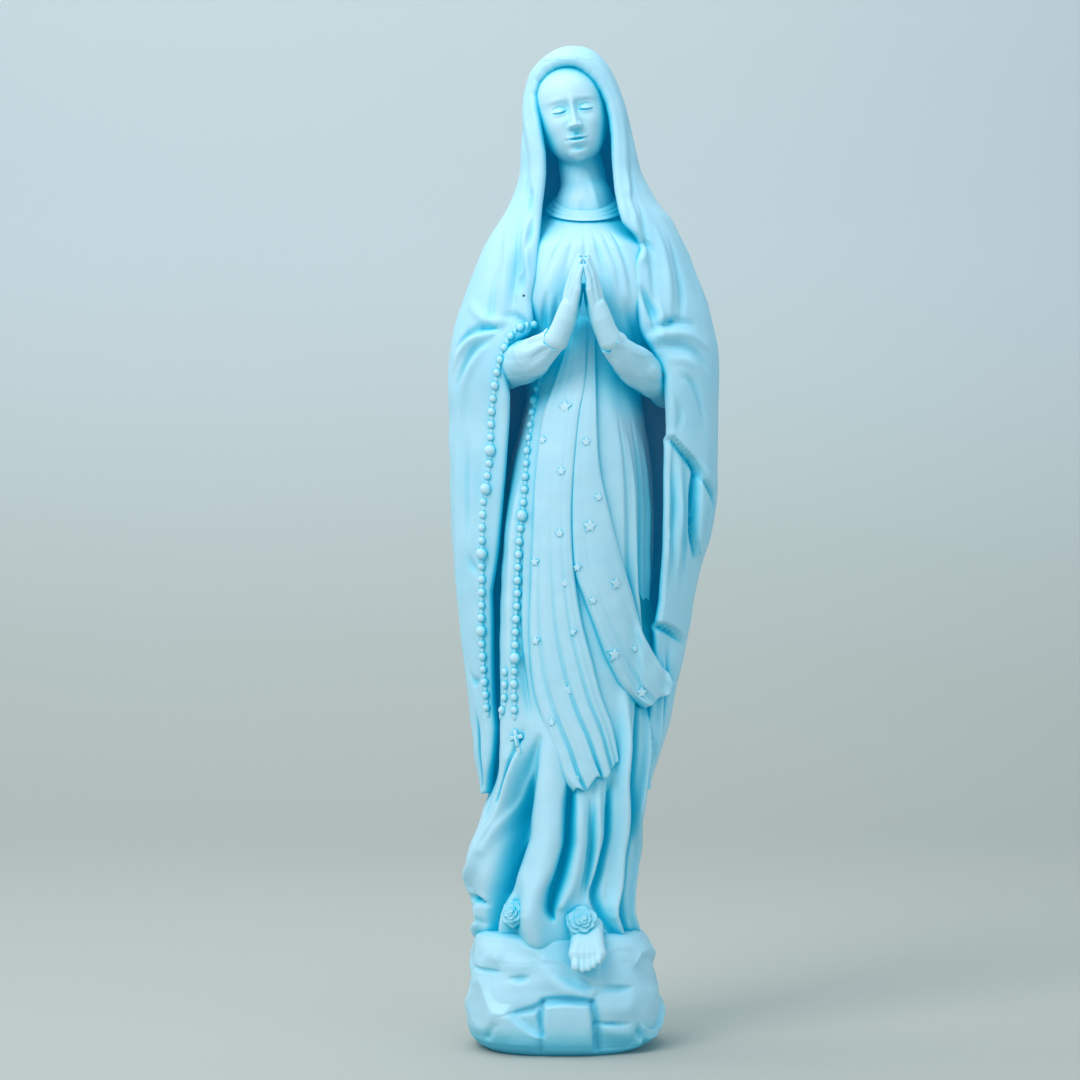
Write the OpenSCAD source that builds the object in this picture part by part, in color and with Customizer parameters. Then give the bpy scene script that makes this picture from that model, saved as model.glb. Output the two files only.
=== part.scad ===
/* [Statue] */
// Height of the whole statue; the other sizes are those of a 400 mm statue and scale with it
statue_h = 400; // [200:10:800]
// Thickness of the cast mantle
mantle_wall = 5; // [3:0.5:6]
// How much fuller or slimmer the mantle hangs over the elbows, on each side
mantle_ease = 0; // [-2:0.5:3]

/* [Base] */
// Height of the rock base
base_h = 44; // [40:1:48]
// Diameter of the casting hole under the base
pour_d = 34; // [20:1:35]
// Thickness of the plug that closes the casting hole
plug_t = 5; // [3:0.5:8]
// How far the plug sits above the resting face
plug_recess = 1; // [0.5:0.5:3]

/* [Rosary] */
// Diameter of a small bead
bead_d = 3; // [2.4:0.1:3.4]
// Diameter of a large bead
large_bead_d = 4; // [3.4:0.1:4.6]

/* [Sash] */
// Thickness of the two sash tails
sash_t = 2; // [1:0.25:3]
// Width of a large star, point to point
star_d = 7; // [5:0.5:9]

/* [Joining pins] */
// Diameter of the steel dowels in the neck and the base
dowel_d = 4; // [3:0.5:6]
// Diameter of the steel wire in each forearm
wire_d = 2.5; // [1.5:0.25:3]

/* [Hidden] */

design_h = 400;
k = statue_h / design_h;
cast_color = [0.62, 0.86, 0.94];
steel_color = [0.62, 0.63, 0.65];
glue_gap = 0.15;

neck_x = 8;
neck_y = 0;
neck_r = 11;

// Body sections, each row [height, left edge, right edge, depth in front, depth behind].
BASE = [[0, -33, 33, 32, 30], [2.5, -37, 36.5, 36, 34], [8, -39, 38.5, 38, 36], [18, -40, 39.5, 38.5, 36.5],
        [28, -39.5, 38, 38, 36], [36, -38, 35.5, 37, 34.5], [base_h, -36.5, 32, 35, 32]];
GOWN = [[base_h, -36, 28, 31, 26], [60, -38, 27, 31, 26], [74, -39, 28, 30, 26], [90, -34, 31, 28, 26],
        [110, -30, 33, 28, 25], [150, -28, 35, 29, 25], [200, -27, 36, 30, 25], [230, -22, 35, 30, 24],
        [256, -14, 30, 26, 23], [268, -12, 28, 24, 22], [298, -17, 31, 25, 24], [316, -16, 31, 23, 22],
        [328, -6, 22, 16, 17], [332, neck_x - neck_r, neck_x + neck_r, neck_r, neck_r],
        [336, neck_x - neck_r, neck_x + neck_r, neck_r, neck_r]];
HEAD = [[337, -1.5, 17.5, 11, 12], [346, -1, 16.5, 10, 13], [351, -3, 15.5, 13, 14], [355, -7, 16, 17, 16],
        [361, -9.5, 18.5, 19, 18], [370, -10.5, 19, 19.5, 20], [379, -9.5, 16.5, 18, 19],
        [386, -5.5, 12.5, 13, 15], [390.5, -1, 8, 6, 8]];

// Mantle sections: as above, then the two front edges.
MANTLE = [[100, -36, 36, 21, 29, -31, 31], [125, -38, 41, 23, 30, -30.5, 34],
          [150, -40.5, 47, 25, 31, -30, 37.5], [180, -43.5, 52, 27, 32, -29.5, 38.5],
          [205, -45.5, 58, 29, 33, -28, 39.5], [232, -46.5, 61, 31, 33, -26, 39.5],
          [256, -46.5, 61.5, 31, 33, -22, 37], [278, -45, 60, 30, 33, -16, 34.5],
          [292, -42, 57, 28, 32, -13.5, 34], [304, -37.5, 53, 27, 31, -13.5, 32],
          [316, -32, 49, 25, 30, -12.5, 29], [328, -25.5, 43, 22, 28, -11, 25],
          [340, -19.5, 33.5, 19.5, 27, -10, 23], [352, -18, 29.5, 18.5, 27, -10, 22],
          [366, -17.5, 27, 18, 27, -10.5, 20.5], [378, -15.5, 24.5, 17, 26, -11.5, 18],
          [386, -12.5, 21.5, 15.5, 24, -8, 12], [391, -9, 18, 13, 21, -2, 6]];
CROWN = [[391, -9, 18, 13, 21], [394.5, -5.5, 14.5, 10, 17], [397.5, -1.5, 10.5, 6, 11],
         [399.3, 1.5, 7, 3, 6], [design_h, 3.5, 5, 1, 2]];

// Front edges of the sash tails: [height, left edge, right edge].
TAIL_R = [[105, 0, 6], [112, -2, 15], [120, -4.5, 18.5], [140, -10, 15], [170, -13.5, 10], [210, -12.5, 4],
          [240, -10, 5], [262, -4, 8], [271, 1, 9]];
TAIL_L = [[136, 31.5, 34.5], [142, 26, 38.5], [150, 21.5, 36], [165, 14.5, 31.5], [185, 7, 26],
          [210, 4.5, 20.5], [240, 6, 12.5], [262, 8.5, 12], [271, 9.5, 12]];

// Centres of the stars: [across, height, share of the large star's width].
STARS = [[-0.5, 257, 1], [-8.5, 244, 0.6], [8.5, 243.5, 0.6], [-2, 232, 0.6], [13, 222, 0.65], [9.5, 210, 1],
         [-2, 207, 0.65], [-11.5, 195.5, 0.6], [0.5, 187.5, 0.6], [20, 187.5, 1], [11.5, 181, 0.65],
         [-11.5, 165, 0.65], [3, 167.5, 0.65], [20, 158.5, 1], [27.5, 162, 0.6], [30.5, 144.5, 0.9],
         [1.5, 145, 1], [-6, 132, 0.5], [4.5, 112, 0.6]];

// Rosary routes on the front: [across, height]. The pendant hangs from where the two strands meet.
OUTER = [[-19, 289], [-23, 285], [-26, 277], [-28, 266], [-29, 250], [-30, 235], [-31, 228], [-33, 215],
         [-33.2, 195], [-33, 178], [-34, 165], [-33, 155], [-31.5, 143], [-29, 134.5]];
INNER = [[-11, 262], [-14, 255], [-16.5, 245], [-18.5, 230], [-19.5, 215], [-21, 195], [-21, 175], [-22, 162],
         [-21.5, 155]];
LOOP_FOOT = [[-29, 134.5], [-25.5, 134.5], [-23, 141], [-22, 147]];
PENDANT = [[-20.5, 150], [-20.5, 141], [-19.5, 133]];
cross_at = [-18.5, 125.5];

// Spacing of the beads along a route, and how many beads there are from one large bead to the next.
bead_pitch = 4.6;
beads_in_a_decade = 11;

// Arms, each [x, y, z]: where the wire starts in the body, the cuff at the wrist, and the fingertips.
R_ARM = [[-27, -19, 268], [-2, -41, 283], [6, -43, 314]];
L_ARM = [[43, -20, 264], [16.5, -41, 280], [7.5, -43, 314]];
sleeve_r = [8.6, 6.2];

function col(table, c) = [for (row = table) [row[0], row[c]]];
function at(table, z, c) = lookup(z, col(table, c));
function mid_x(table, z) = (at(table, z, 1) + at(table, z, 2)) / 2;
function half_w(table, z) = (at(table, z, 2) - at(table, z, 1)) / 2;

// Point of a section at an angle from straight ahead, drawn in by an inset; power above 2 squares it off.
function squared(v, power) = sign(v) * pow(abs(v), 2 / power);
function rim(table, z, angle, inset = 0, power = 2) =
    [mid_x(table, z) + (half_w(table, z) - inset) * squared(sin(angle), power),
     -(at(table, z, cos(angle) > 0 ? 3 : 4) - inset) * squared(cos(angle), power), z];
function front_y(table, x, z) =
    -at(table, z, 3) * sqrt(max(0, 1 - pow((x - mid_x(table, z)) / half_w(table, z), 2)));
function front_angle(table, x, z) = asin(max(-0.999, min(0.999, (x - mid_x(table, z)) / half_w(table, z))));

// Heights at which a table is cut into rings, a few between each pair of rows.
function levels(table, cuts) = concat(
    [for (i = [0 : len(table) - 2]) for (j = [0 : cuts - 1])
        table[i][0] + (table[i + 1][0] - table[i][0]) * j / cuts],
    [table[len(table) - 1][0]]);

// A solid through closed rings of equal length, with its ends closed by fans.
module loft(rings) {
    n = len(rings[0]);
    last = (len(rings) - 1) * n;
    sides = [for (i = [0 : len(rings) - 2]) for (j = [0 : n - 1]) for (half = [0, 1])
        let (a = i * n + j, b = i * n + (j + 1) % n)
        half == 0 ? [a, b, b + n] : [a, b + n, a + n]];
    foot = [for (j = [1 : n - 2]) [0, j + 1, j]];
    top = [for (j = [1 : n - 2]) [last, last + j, last + j + 1]];
    polyhedron([for (ring = rings) each ring], concat(sides, foot, top), convexity = 6);
}

// A shell through open bands: each band is its outer line followed by its inner line, in the same sense.
module band_loft(outer, inner) {
    n = len(outer[0]);
    rows = len(outer);
    skin = rows * n;
    grid = [for (i = [0 : rows - 2]) for (j = [0 : n - 2]) for (half = [0, 1])
        let (a = i * n + j, b = a + 1)
        half == 0 ? [a, b, b + n] : [a, b + n, a + n]];
    back = [for (f = grid) [f[0] + skin, f[2] + skin, f[1] + skin]];
    ends = [for (i = [0 : rows - 2]) for (j = [0, n - 1]) for (half = [0, 1])
        let (a = i * n + j, b = a + n, q = half == 0 ? [a, b, b + skin] : [a, b + skin, a + skin])
        j == 0 ? q : [q[0], q[2], q[1]]];
    caps = [for (i = [0, rows - 1]) for (j = [0 : n - 2]) for (half = [0, 1])
        let (a = i * n + j, b = a + 1, q = half == 0 ? [a, b + skin, b] : [a, a + skin, b + skin])
        i == 0 ? q : [q[0], q[2], q[1]]];
    polyhedron([each each outer, each each inner], concat(grid, back, ends, caps), convexity = 8);
}

function closed_rings(table, cuts, sides, power = 2) =
    [for (z = levels(table, cuts)) [for (i = [0 : sides - 1]) rim(table, z, 360 * i / sides, 0, power)]];

// A rod between two points, as an exact cylinder.
module rod(from, to, r) {
    span = to - from;
    length = norm(span);
    translate(from)
        rotate([0, acos(span[2] / length), atan2(span[1], span[0])])
            cylinder(h = length, r = r, $fn = 32);
}

module ball(at_point, r) {
    translate(at_point) sphere(r = r, $fn = 12);
}

// Points spread evenly along a route.
function route_length(p) = len(p) < 2 ? 0
    : norm(p[1] - p[0]) + route_length([for (i = [1 : len(p) - 1]) p[i]]);
function along(p, s, i = 0) = let (step = norm(p[i + 1] - p[i]))
    (s <= step || i == len(p) - 2) ? p[i] + (p[i + 1] - p[i]) * min(1, s / step) : along(p, s - step, i + 1);

// Beads on a body's front along a route, a glue line clear of its surface.
module beads(table, route) {
    count = floor(route_length(route) / bead_pitch);
    color(cast_color) for (i = [0 : count]) {
        p = along(route, i * bead_pitch);
        large = i % beads_in_a_decade == beads_in_a_decade - 1;
        r = (large ? large_bead_d : bead_d) / 2;
        translate([p[0], front_y(table, p[0], p[1]) - r - glue_gap, p[1]]) sphere(r = r, $fn = 24);
    }
}

// Rock that the figure stands on, hollow to the casting hole and drilled for the two base dowels.
module rock_base() {
    color(cast_color) difference() {
        loft(closed_rings(BASE, 2, 32, 2.6));
        translate([0, 0, -1]) cylinder(h = base_h + 2, d = pour_d, $fn = 64);
        base_dowel_places() cylinder(h = 20, d = dowel_d, $fn = 32);
    }
}

module pour_plug() {
    color(cast_color) translate([0, 0, plug_recess]) cylinder(h = plug_t, d = pour_d, $fn = 64);
}

// Both dowels stand half in the rock and half in the foot of the gown.
module base_dowel_places() {
    for (x = [-24, 20]) translate([x, 6, base_h - 10]) children();
}

module base_dowels() {
    color(steel_color) base_dowel_places() cylinder(h = 20, d = dowel_d, $fn = 32);
}

// Gown from hem to neck: a hollow casting, with its folds as shallow waves round the skirt.
function pleat(z, angle) = 1.1 * sin(angle * 13 + z * 0.6) * max(0, min(1, (250 - z) / 120));
function gown_ring(z) = [for (i = [0 : 47]) rim(GOWN, z, 360 * i / 48, -pleat(z, 360 * i / 48) + 1.1)];
cavity_top = 240;
cavity_r = 17;
module gown() {
    color(cast_color) difference() {
        loft([for (z = levels(GOWN, 2)) gown_ring(z)]);
        translate([0, 0, base_h - 1]) cylinder(h = cavity_top - base_h, r = cavity_r, $fn = 64);
        base_dowel_places() cylinder(h = 20, d = dowel_d, $fn = 32);
        neck_dowel_place() cylinder(h = 30, d = dowel_d, $fn = 32);
    }
}

// Rolled band round the neckline, seated on the neck of the gown.
band_r = 1.3;
module neck_band() {
    color(cast_color) translate([neck_x, neck_y, 333.5])
        rotate_extrude($fn = 96) translate([neck_r + band_r + glue_gap, 0]) circle(r = band_r, $fn = 32);
}

// Veil and cloak in one: a wall open down the front, closed over the crown.
function spread(table, z, t) = let (from = front_angle(table, at(table, z, 6), z),
    to = 360 + front_angle(table, at(table, z, 5), z)) from + (to - from) * t;
function eased(z) = mantle_ease * max(0, 1 - abs(z - 245) / 60);
function band(z, inset) = [for (i = [0 : 40]) rim(MANTLE, z, spread(MANTLE, z, i / 40), inset - eased(z))];
module mantle() {
    color(cast_color) {
        zs = levels(MANTLE, 2);
        band_loft([for (z = zs) band(z, 0)], [for (z = zs) band(z, mantle_wall)]);
        loft(closed_rings(CROWN, 2, 40));
    }
}

// Head and neck, with the neck's foot socketed on the gown.
module head() {
    color(cast_color) difference() {
        loft(closed_rings(HEAD, 2, 32));
        neck_dowel_place() cylinder(h = 30, d = dowel_d, $fn = 32);
    }
}

module neck_dowel_place() {
    translate([8, 1, 321]) children();
}

module neck_dowel() {
    color(steel_color) neck_dowel_place() cylinder(h = 30, d = dowel_d, $fn = 32);
}

// Tight sleeve of the forearm, bored for its wire.
module sleeve(arm) {
    elbow = arm[0] + (arm[1] - arm[0]) * 0.12;
    color(cast_color) difference() {
        hull() {
            ball(elbow, sleeve_r[0]);
            ball(arm[1], sleeve_r[1]);
        }
        rod(arm[0] - (arm[1] - arm[0]) * 0.3, arm[1] + (arm[1] - arm[0]) * 0.4, wire_d / 2);
    }
}

// Hand with its fingers straight up: palm, four fingers side by side and a thumb behind.
module hand(arm, side) {
    wrist = arm[1] + [0, 0, 6.5];
    tip = arm[2];
    color(cast_color) difference() {
        union() {
            hull() {
                ball(wrist, 4.6);
                ball(wrist + (tip - wrist) * 0.45 + [side * 0.5, -2.5, 0], 3);
                ball(wrist + (tip - wrist) * 0.45 + [side * 0.5, 7, 0], 3);
            }
            for (f = [0 : 3]) {
                root = wrist + (tip - wrist) * 0.45 + [side, -3.5 + 3.4 * f, 0];
                end = tip + [side * 1.3, -2.5 + 2.4 * f, [-6, -2.5, 0, -2][f] - 2];
                knuckle = root + (end - root) * 0.5 + [side * 0.9, 0, 0];
                hull() {
                    ball(root, 2.2);
                    ball(knuckle, 1.9);
                }
                hull() {
                    ball(knuckle, 1.9);
                    ball(end, 1.35);
                }
            }
        }
        translate(arm[1]) sphere(r = sleeve_r[1], $fn = 12);
        rod(arm[0], arm[1] + (arm[1] - arm[0]) * 0.3, wire_d / 2);
    }
}

module arm_wire(arm) {
    color(steel_color)
        rod(arm[0] - (arm[1] - arm[0]) * 0.1, arm[1] + (arm[1] - arm[0]) * 0.12, wire_d / 2);
}

// A sash tail: a slab that follows the front of the gown.
function tail_line(table, z, lift) = [for (i = [0 : 10])
    let (x = at(table, z, 1) + (at(table, z, 2) - at(table, z, 1)) * i / 10)
    [x, front_y(GOWN, x, z) - lift, z]];
module sash_tail(table) {
    zs = levels(table, 2);
    color(cast_color)
        band_loft([for (z = zs) tail_line(table, z, glue_gap + sash_t)],
                  [for (z = zs) tail_line(table, z, glue_gap)]);
}

module star(d) {
    linear_extrude(0.9)
        polygon([for (i = [0 : 9]) let (r = i % 2 == 0 ? d / 2 : d / 5) [r * sin(36 * i), r * cos(36 * i)]]);
}

module sash_stars() {
    color(cast_color) for (s = STARS) {
        turn = asin((s[0] - mid_x(GOWN, s[1])) / half_w(GOWN, s[1]));
        translate([s[0], front_y(GOWN, s[0], s[1]) - sash_t - 2 * glue_gap, s[1]])
            rotate([90, 0, turn * 0.8]) star(star_d * s[2]);
    }
}

module rosary_crucifix() {
    depth = 1.6;
    color(cast_color)
        translate([cross_at[0], front_y(GOWN, cross_at[0], cross_at[1]) - glue_gap, cross_at[1]])
            rotate([90, 0, -20]) linear_extrude(depth) union() {
                square([1.8, 11], center = true);
                translate([0, 1.8]) square([7, 1.8], center = true);
            }
}

// Rose on the instep: rings of five petals, each smaller, higher and turned between the petals below.
module rose(centre, d) {
    color(cast_color) translate(centre) rotate([62, 0, 0])
        for (ring = [0 : 2]) {
            r = d / 2 * (1 - 0.27 * ring);
            translate([0, 0, 0.7 * ring]) rotate(36 * ring) linear_extrude(1.8 + 0.4 * ring)
                polygon([for (a = [0 : 9 : 351]) r * (0.86 + 0.14 * cos(5 * a)) * [cos(a), sin(a)]]);
        }
}

// Bare forefoot with five toes, from under the hem.
module left_foot() {
    color(cast_color) union() {
        hull() {
            ball([9.5, -29, base_h + 6], 5);
            ball([9.5, -37, base_h + 1.5], 4.8);
        }
        for (t = [0 : 4]) {
            root = [6.2 + 1.9 * t, -38.5 + 0.5 * t, base_h + 2.2];
            hull() {
                ball(root, 2);
                ball(root + [-0.2, -4.2 + 0.4 * t, -2.2], 1.7 - 0.12 * t);
            }
        }
    }
}

scale(k) {
    rock_base();
    pour_plug();
    base_dowels();
    gown();
    neck_band();
    mantle();
    head();
    neck_dowel();
    sleeve(R_ARM);  // right_sleeve
    sleeve(L_ARM);  // left_sleeve
    hand(R_ARM, -1);  // right_hand
    hand(L_ARM, 1);  // left_hand
    arm_wire(R_ARM);  // right_arm_wire
    arm_wire(L_ARM);  // left_arm_wire
    sash_tail(TAIL_R);  // sash_right_tail
    sash_tail(TAIL_L);  // sash_left_tail
    sash_stars();
    beads(MANTLE, OUTER);  // rosary_outer_strand
    beads(GOWN, INNER);  // rosary_inner_strand
    beads(GOWN, concat(LOOP_FOOT, PENDANT));  // rosary_pendant
    rosary_crucifix();
    rose([-21, -30, base_h + 10], 11);  // right_rose
    rose([7, -34, base_h + 12], 13);  // left_rose
    left_foot();
}
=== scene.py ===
import math

import bpy
import numpy as np
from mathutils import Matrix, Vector


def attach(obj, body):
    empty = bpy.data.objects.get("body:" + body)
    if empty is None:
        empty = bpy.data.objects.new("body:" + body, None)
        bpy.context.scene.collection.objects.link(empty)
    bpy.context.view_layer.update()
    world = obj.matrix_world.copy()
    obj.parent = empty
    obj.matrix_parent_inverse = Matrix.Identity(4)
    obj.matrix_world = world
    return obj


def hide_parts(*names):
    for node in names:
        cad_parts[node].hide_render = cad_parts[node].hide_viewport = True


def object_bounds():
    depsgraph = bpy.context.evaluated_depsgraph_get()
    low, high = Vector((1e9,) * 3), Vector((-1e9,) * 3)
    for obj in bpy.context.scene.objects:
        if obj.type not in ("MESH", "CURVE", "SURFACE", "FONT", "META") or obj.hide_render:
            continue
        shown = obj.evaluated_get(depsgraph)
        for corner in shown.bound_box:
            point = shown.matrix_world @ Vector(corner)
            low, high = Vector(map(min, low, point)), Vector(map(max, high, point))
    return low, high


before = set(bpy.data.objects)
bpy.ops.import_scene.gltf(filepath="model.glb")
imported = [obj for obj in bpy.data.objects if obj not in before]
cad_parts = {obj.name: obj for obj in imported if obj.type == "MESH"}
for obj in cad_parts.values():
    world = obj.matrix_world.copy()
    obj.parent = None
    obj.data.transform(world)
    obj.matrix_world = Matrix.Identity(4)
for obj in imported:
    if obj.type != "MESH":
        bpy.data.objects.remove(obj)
cad_low, cad_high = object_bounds()
bpy.ops.object.select_all(action="DESELECT")

# Rock base: a block of cast plaster modelled as rough rock, with a dressed stone let into its front.
# It was carved in the master model, so its cracks and ledges are part of the casting. The figure is
# pinned to its top by two steel dowels.
U = (cad_high.z - cad_low.z) / 400      # metres to one millimetre of a statue 400 mm tall

ROCK_SECTIONS = [  # height, left edge, right edge, depth in front, depth behind
    (0, -30.5, 28, 30, 29), (1.4, -33.8, 32, 32.8, 31.5), (4, -36.4, 35.6, 35, 33.6),
    (8, -38.3, 38.2, 36.8, 35.2),
    (14, -39.6, 39.8, 38, 36.3), (20, -40, 40, 38.4, 36.6), (26, -39.4, 39, 38, 36.4),
    (31, -38.4, 37.6, 37, 36),
    (36, -37.8, 36.4, 35.4, 35), (40, -37.2, 34.8, 33.6, 34), (43.4, -36.8, 33, 31.6, 32.6),
    (45.4, -35.6, 31.2, 30.2, 31),
    (46.8, -33.2, 28.8, 28.2, 28.8)]


def flow(t, knots, values):
    """A smooth line through values at rising knots, level past both ends."""
    knots, values = np.asarray(knots, float), np.asarray(values, float)
    slope = np.gradient(values, knots)
    t = np.clip(t, knots[0], knots[-1])
    i = np.clip(np.searchsorted(knots, t, side="right") - 1, 0, len(knots) - 2)
    span = knots[i + 1] - knots[i]
    f = (t - knots[i]) / span
    return ((1 + 2 * f) * (1 - f) ** 2 * values[i] + f * (1 - f) ** 2 * span * slope[i]
            + f * f * (3 - 2 * f) * values[i + 1] + f * f * (f - 1) * span * slope[i + 1])


def sections_at(rows, z):
    """The middle and half width, and the depths in front and behind, of a body at heights z."""
    rows = np.array(rows, float)
    left, right, front, back = [flow(z, rows[:, 0], rows[:, c]) for c in range(1, 5)]
    return (left + right) / 2, (right - left) / 2, front, back


def body_point(rows, angle, z, lift=0, power=2.0):
    """Where a body's skin lies at an angle from straight ahead, moved outwards by lift."""
    mid, half, front, back = sections_at(rows, z)
    depth = np.where(np.cos(angle) > 0, front, back)
    east = np.sign(np.sin(angle)) * np.abs(np.sin(angle)) ** (2 / power)
    south = np.sign(np.cos(angle)) * np.abs(np.cos(angle)) ** (2 / power)
    out_x, out_y = np.sin(angle) / np.maximum(half, 0.5), -np.cos(angle) / np.maximum(depth, 0.5)
    size = np.hypot(out_x, out_y)
    return mid + half * east + lift * out_x / size, -depth * south + lift * out_y / size


def run_along(points):
    """The distance from the start of a line to each of its points."""
    return np.concatenate([[0], np.cumsum(np.linalg.norm(np.diff(points, axis=0), axis=1))])


def strokes(s, z, paths):
    """Height added by a modelling tool drawn along paths. Each is (lean, points), each point (across,
    height, half width, rise), and a lean over 1 makes the right-hand side of a downward stroke steeper."""
    total = np.zeros_like(s)
    for lean, points in paths:
        p = np.array(points, float)
        run = run_along(p[:, :2])
        t = np.linspace(0, run[-1], 4 * len(p))
        p = np.stack([flow(t, run, p[:, c]) for c in range(4)], 1)
        reach = 2.8 * np.abs(p[:, 2]).max() / min(lean, 1)
        near = np.nonzero((s > p[:, 0].min() - reach) & (s < p[:, 0].max() + reach)
                          & (z > p[:, 1].min() - reach) & (z < p[:, 1].max() + reach))[0]
        a, b = s[near], z[near]
        best, rise = np.full(len(near), 1e3), np.zeros(len(near))
        for q, step in zip(p[:-1], np.diff(p, axis=0)):
            f = np.clip(((a - q[0]) * step[0] + (b - q[1]) * step[1]) / (step[0] ** 2 + step[1] ** 2 + 1e-9), 0, 1)
            right = (step[0] * (b - q[1]) - step[1] * (a - q[0])) > 0
            off = np.hypot(a - q[0] - f * step[0], b - q[1] - f * step[1]) / (q[2] + f * step[2])
            off = off * np.where(right, lean, 1)
            nearer = off < best
            best = np.where(nearer, off, best)
            rise = np.where(nearer, q[3] + f * step[3], rise)
        total[near] += rise * np.exp(-best ** 2)
    return total


def plate(s, z, corners, rise, edge):
    """A layer laid on inside an outline, falling away over the width of its edge."""
    c = np.array(corners, float)
    inside = np.zeros(len(s), bool)
    gap = np.full(len(s), 1e3)
    for q, r in zip(c, np.roll(c, -1, axis=0)):
        d = r - q
        f = np.clip(((s - q[0]) * d[0] + (z - q[1]) * d[1]) / (d @ d), 0, 1)
        gap = np.minimum(gap, np.hypot(s - q[0] - f * d[0], z - q[1] - f * d[1]))
        crosses = (q[1] > z) != (r[1] > z)
        inside ^= crosses & (s < q[0] + (z - q[1]) * d[0] / (d[1] if d[1] else 1e-9))
    f = np.clip(np.where(inside, gap, -gap) / edge + 0.5, 0, 1)
    return rise * f * f * (3 - 2 * f)


def lumps(x, y, z, size, seed):
    """Uneven hand modelling: a smooth wander between -1 and 1, the same on every run."""
    rng = np.random.default_rng(seed)
    total = np.zeros_like(x)
    for _ in range(14):
        way = rng.normal(size=3)
        way *= 2 * math.pi / (size * rng.uniform(0.7, 1.6) * np.linalg.norm(way))
        total += np.sin(x * way[0] + y * way[1] + z * way[2] + rng.uniform(0, 6.3))
    return total / 5.5


def clay_sheet(name, cols, rows, place, open_at=None):
    """A grid laid over a form: place turns (across, up), each from 0 to 1, into x, y, z in millimetres, and
    open_at says where the sheet is left out."""
    bpy.ops.object.select_all(action="DESELECT")
    bpy.ops.mesh.primitive_grid_add(x_subdivisions=cols, y_subdivisions=rows, size=1)
    piece = bpy.context.object
    piece.name = piece.data.name = name
    if open_at:
        middles = np.empty(len(piece.data.polygons) * 3)
        piece.data.polygons.foreach_get("center", middles)
        middles = middles.reshape(-1, 3) + 0.5
        bpy.context.tool_settings.mesh_select_mode = (False, False, True)
        bpy.ops.object.mode_set(mode="EDIT")
        bpy.ops.mesh.select_all(action="DESELECT")
        bpy.ops.object.mode_set(mode="OBJECT")
        piece.data.polygons.foreach_set("select", open_at(middles[:, 0], middles[:, 1]))
        bpy.ops.object.mode_set(mode="EDIT")
        bpy.ops.mesh.delete(type="ONLY_FACE")
        bpy.ops.mesh.select_all(action="SELECT")
        bpy.ops.mesh.delete_loose()
        bpy.context.tool_settings.mesh_select_mode = (True, False, False)
        bpy.ops.object.mode_set(mode="OBJECT")
    at = np.empty(len(piece.data.vertices) * 3)
    piece.data.vertices.foreach_get("co", at)
    at = at.reshape(-1, 3) + 0.5
    piece.data.vertices.foreach_set("co", (np.stack(place(at[:, 0], at[:, 1]), 1) * U).ravel())
    piece.data.update()
    return piece


def sew(piece, angle=70):
    """Joins edges that meet, closes open ends, turns the faces outwards and shades the piece smooth."""
    bpy.ops.object.select_all(action="DESELECT")
    bpy.context.view_layer.objects.active = piece
    piece.select_set(True)
    bpy.ops.object.mode_set(mode="EDIT")
    bpy.ops.mesh.select_all(action="SELECT")
    bpy.ops.mesh.remove_doubles(threshold=0.00003)
    bpy.ops.mesh.dissolve_degenerate(threshold=0.000005)
    bpy.ops.mesh.select_all(action="SELECT")
    bpy.ops.mesh.fill_holes(sides=0)
    bpy.ops.mesh.select_all(action="SELECT")
    bpy.ops.mesh.normals_make_consistent(inside=False)
    bpy.ops.object.mode_set(mode="OBJECT")
    bpy.ops.object.shade_smooth_by_angle(angle=math.radians(angle))
    return piece


def finish_piece(piece, material, slot, *nodes):
    piece.data.materials.clear()
    piece.data.materials.append(material)
    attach(piece, "root")
    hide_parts(*nodes)


def node_group(name, inputs, outputs):
    """An empty shader node group with named sockets, and its input and output nodes."""
    group = bpy.data.node_groups.new(name, "ShaderNodeTree")
    for label, kind, value in inputs:
        socket = group.interface.new_socket(label, in_out="INPUT", socket_type="NodeSocket" + kind)
        socket.default_value = value
    for label, kind in outputs:
        group.interface.new_socket(label, in_out="OUTPUT", socket_type="NodeSocket" + kind)
    return group, group.nodes.new("NodeGroupInput"), group.nodes.new("NodeGroupOutput")


def node(tree, kind, **settings):
    """A shader node with its settings; a setting that isn't a property sets the input of that name."""
    made = tree.nodes.new("ShaderNode" + kind)
    for key, value in settings.items():
        if hasattr(made, key):
            setattr(made, key, value)
        else:
            made.inputs[key.replace("_", " ")].default_value = value
    return made


def feed(tree, socket, value):
    """Links a socket to another one, or sets it to a plain value."""
    if isinstance(value, bpy.types.NodeSocket):
        tree.links.new(value, socket)
    else:
        socket.default_value = value


def maths(tree, operation, *values, clamp=False):
    made = node(tree, "Math", operation=operation, use_clamp=clamp)
    for socket, value in zip(made.inputs, values):
        feed(tree, socket, value)
    return made.outputs[0]


def spread(tree, value, low, high, to_low=0.0, to_high=1.0, smooth=False):
    """A value moved from one range to another."""
    made = node(tree, "MapRange", interpolation_type="SMOOTHSTEP" if smooth else "LINEAR",
                From_Min=low, From_Max=high, To_Min=to_low, To_Max=to_high)
    feed(tree, made.inputs["Value"], value)
    return made.outputs["Result"]


def mixed(tree, factor, first, second, blend="MIX"):
    made = node(tree, "Mix", data_type="RGBA", blend_type=blend)
    for label, value in (("Factor", factor), ("A", first), ("B", second)):
        feed(tree, made.inputs[label], value)
    return made.outputs["Result"]


def noise(tree, where, scale, detail, roughness=0.5):
    made = node(tree, "TexNoise", Scale=scale, Detail=detail, Roughness=roughness)
    tree.links.new(where, made.inputs["Vector"])
    return made


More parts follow.
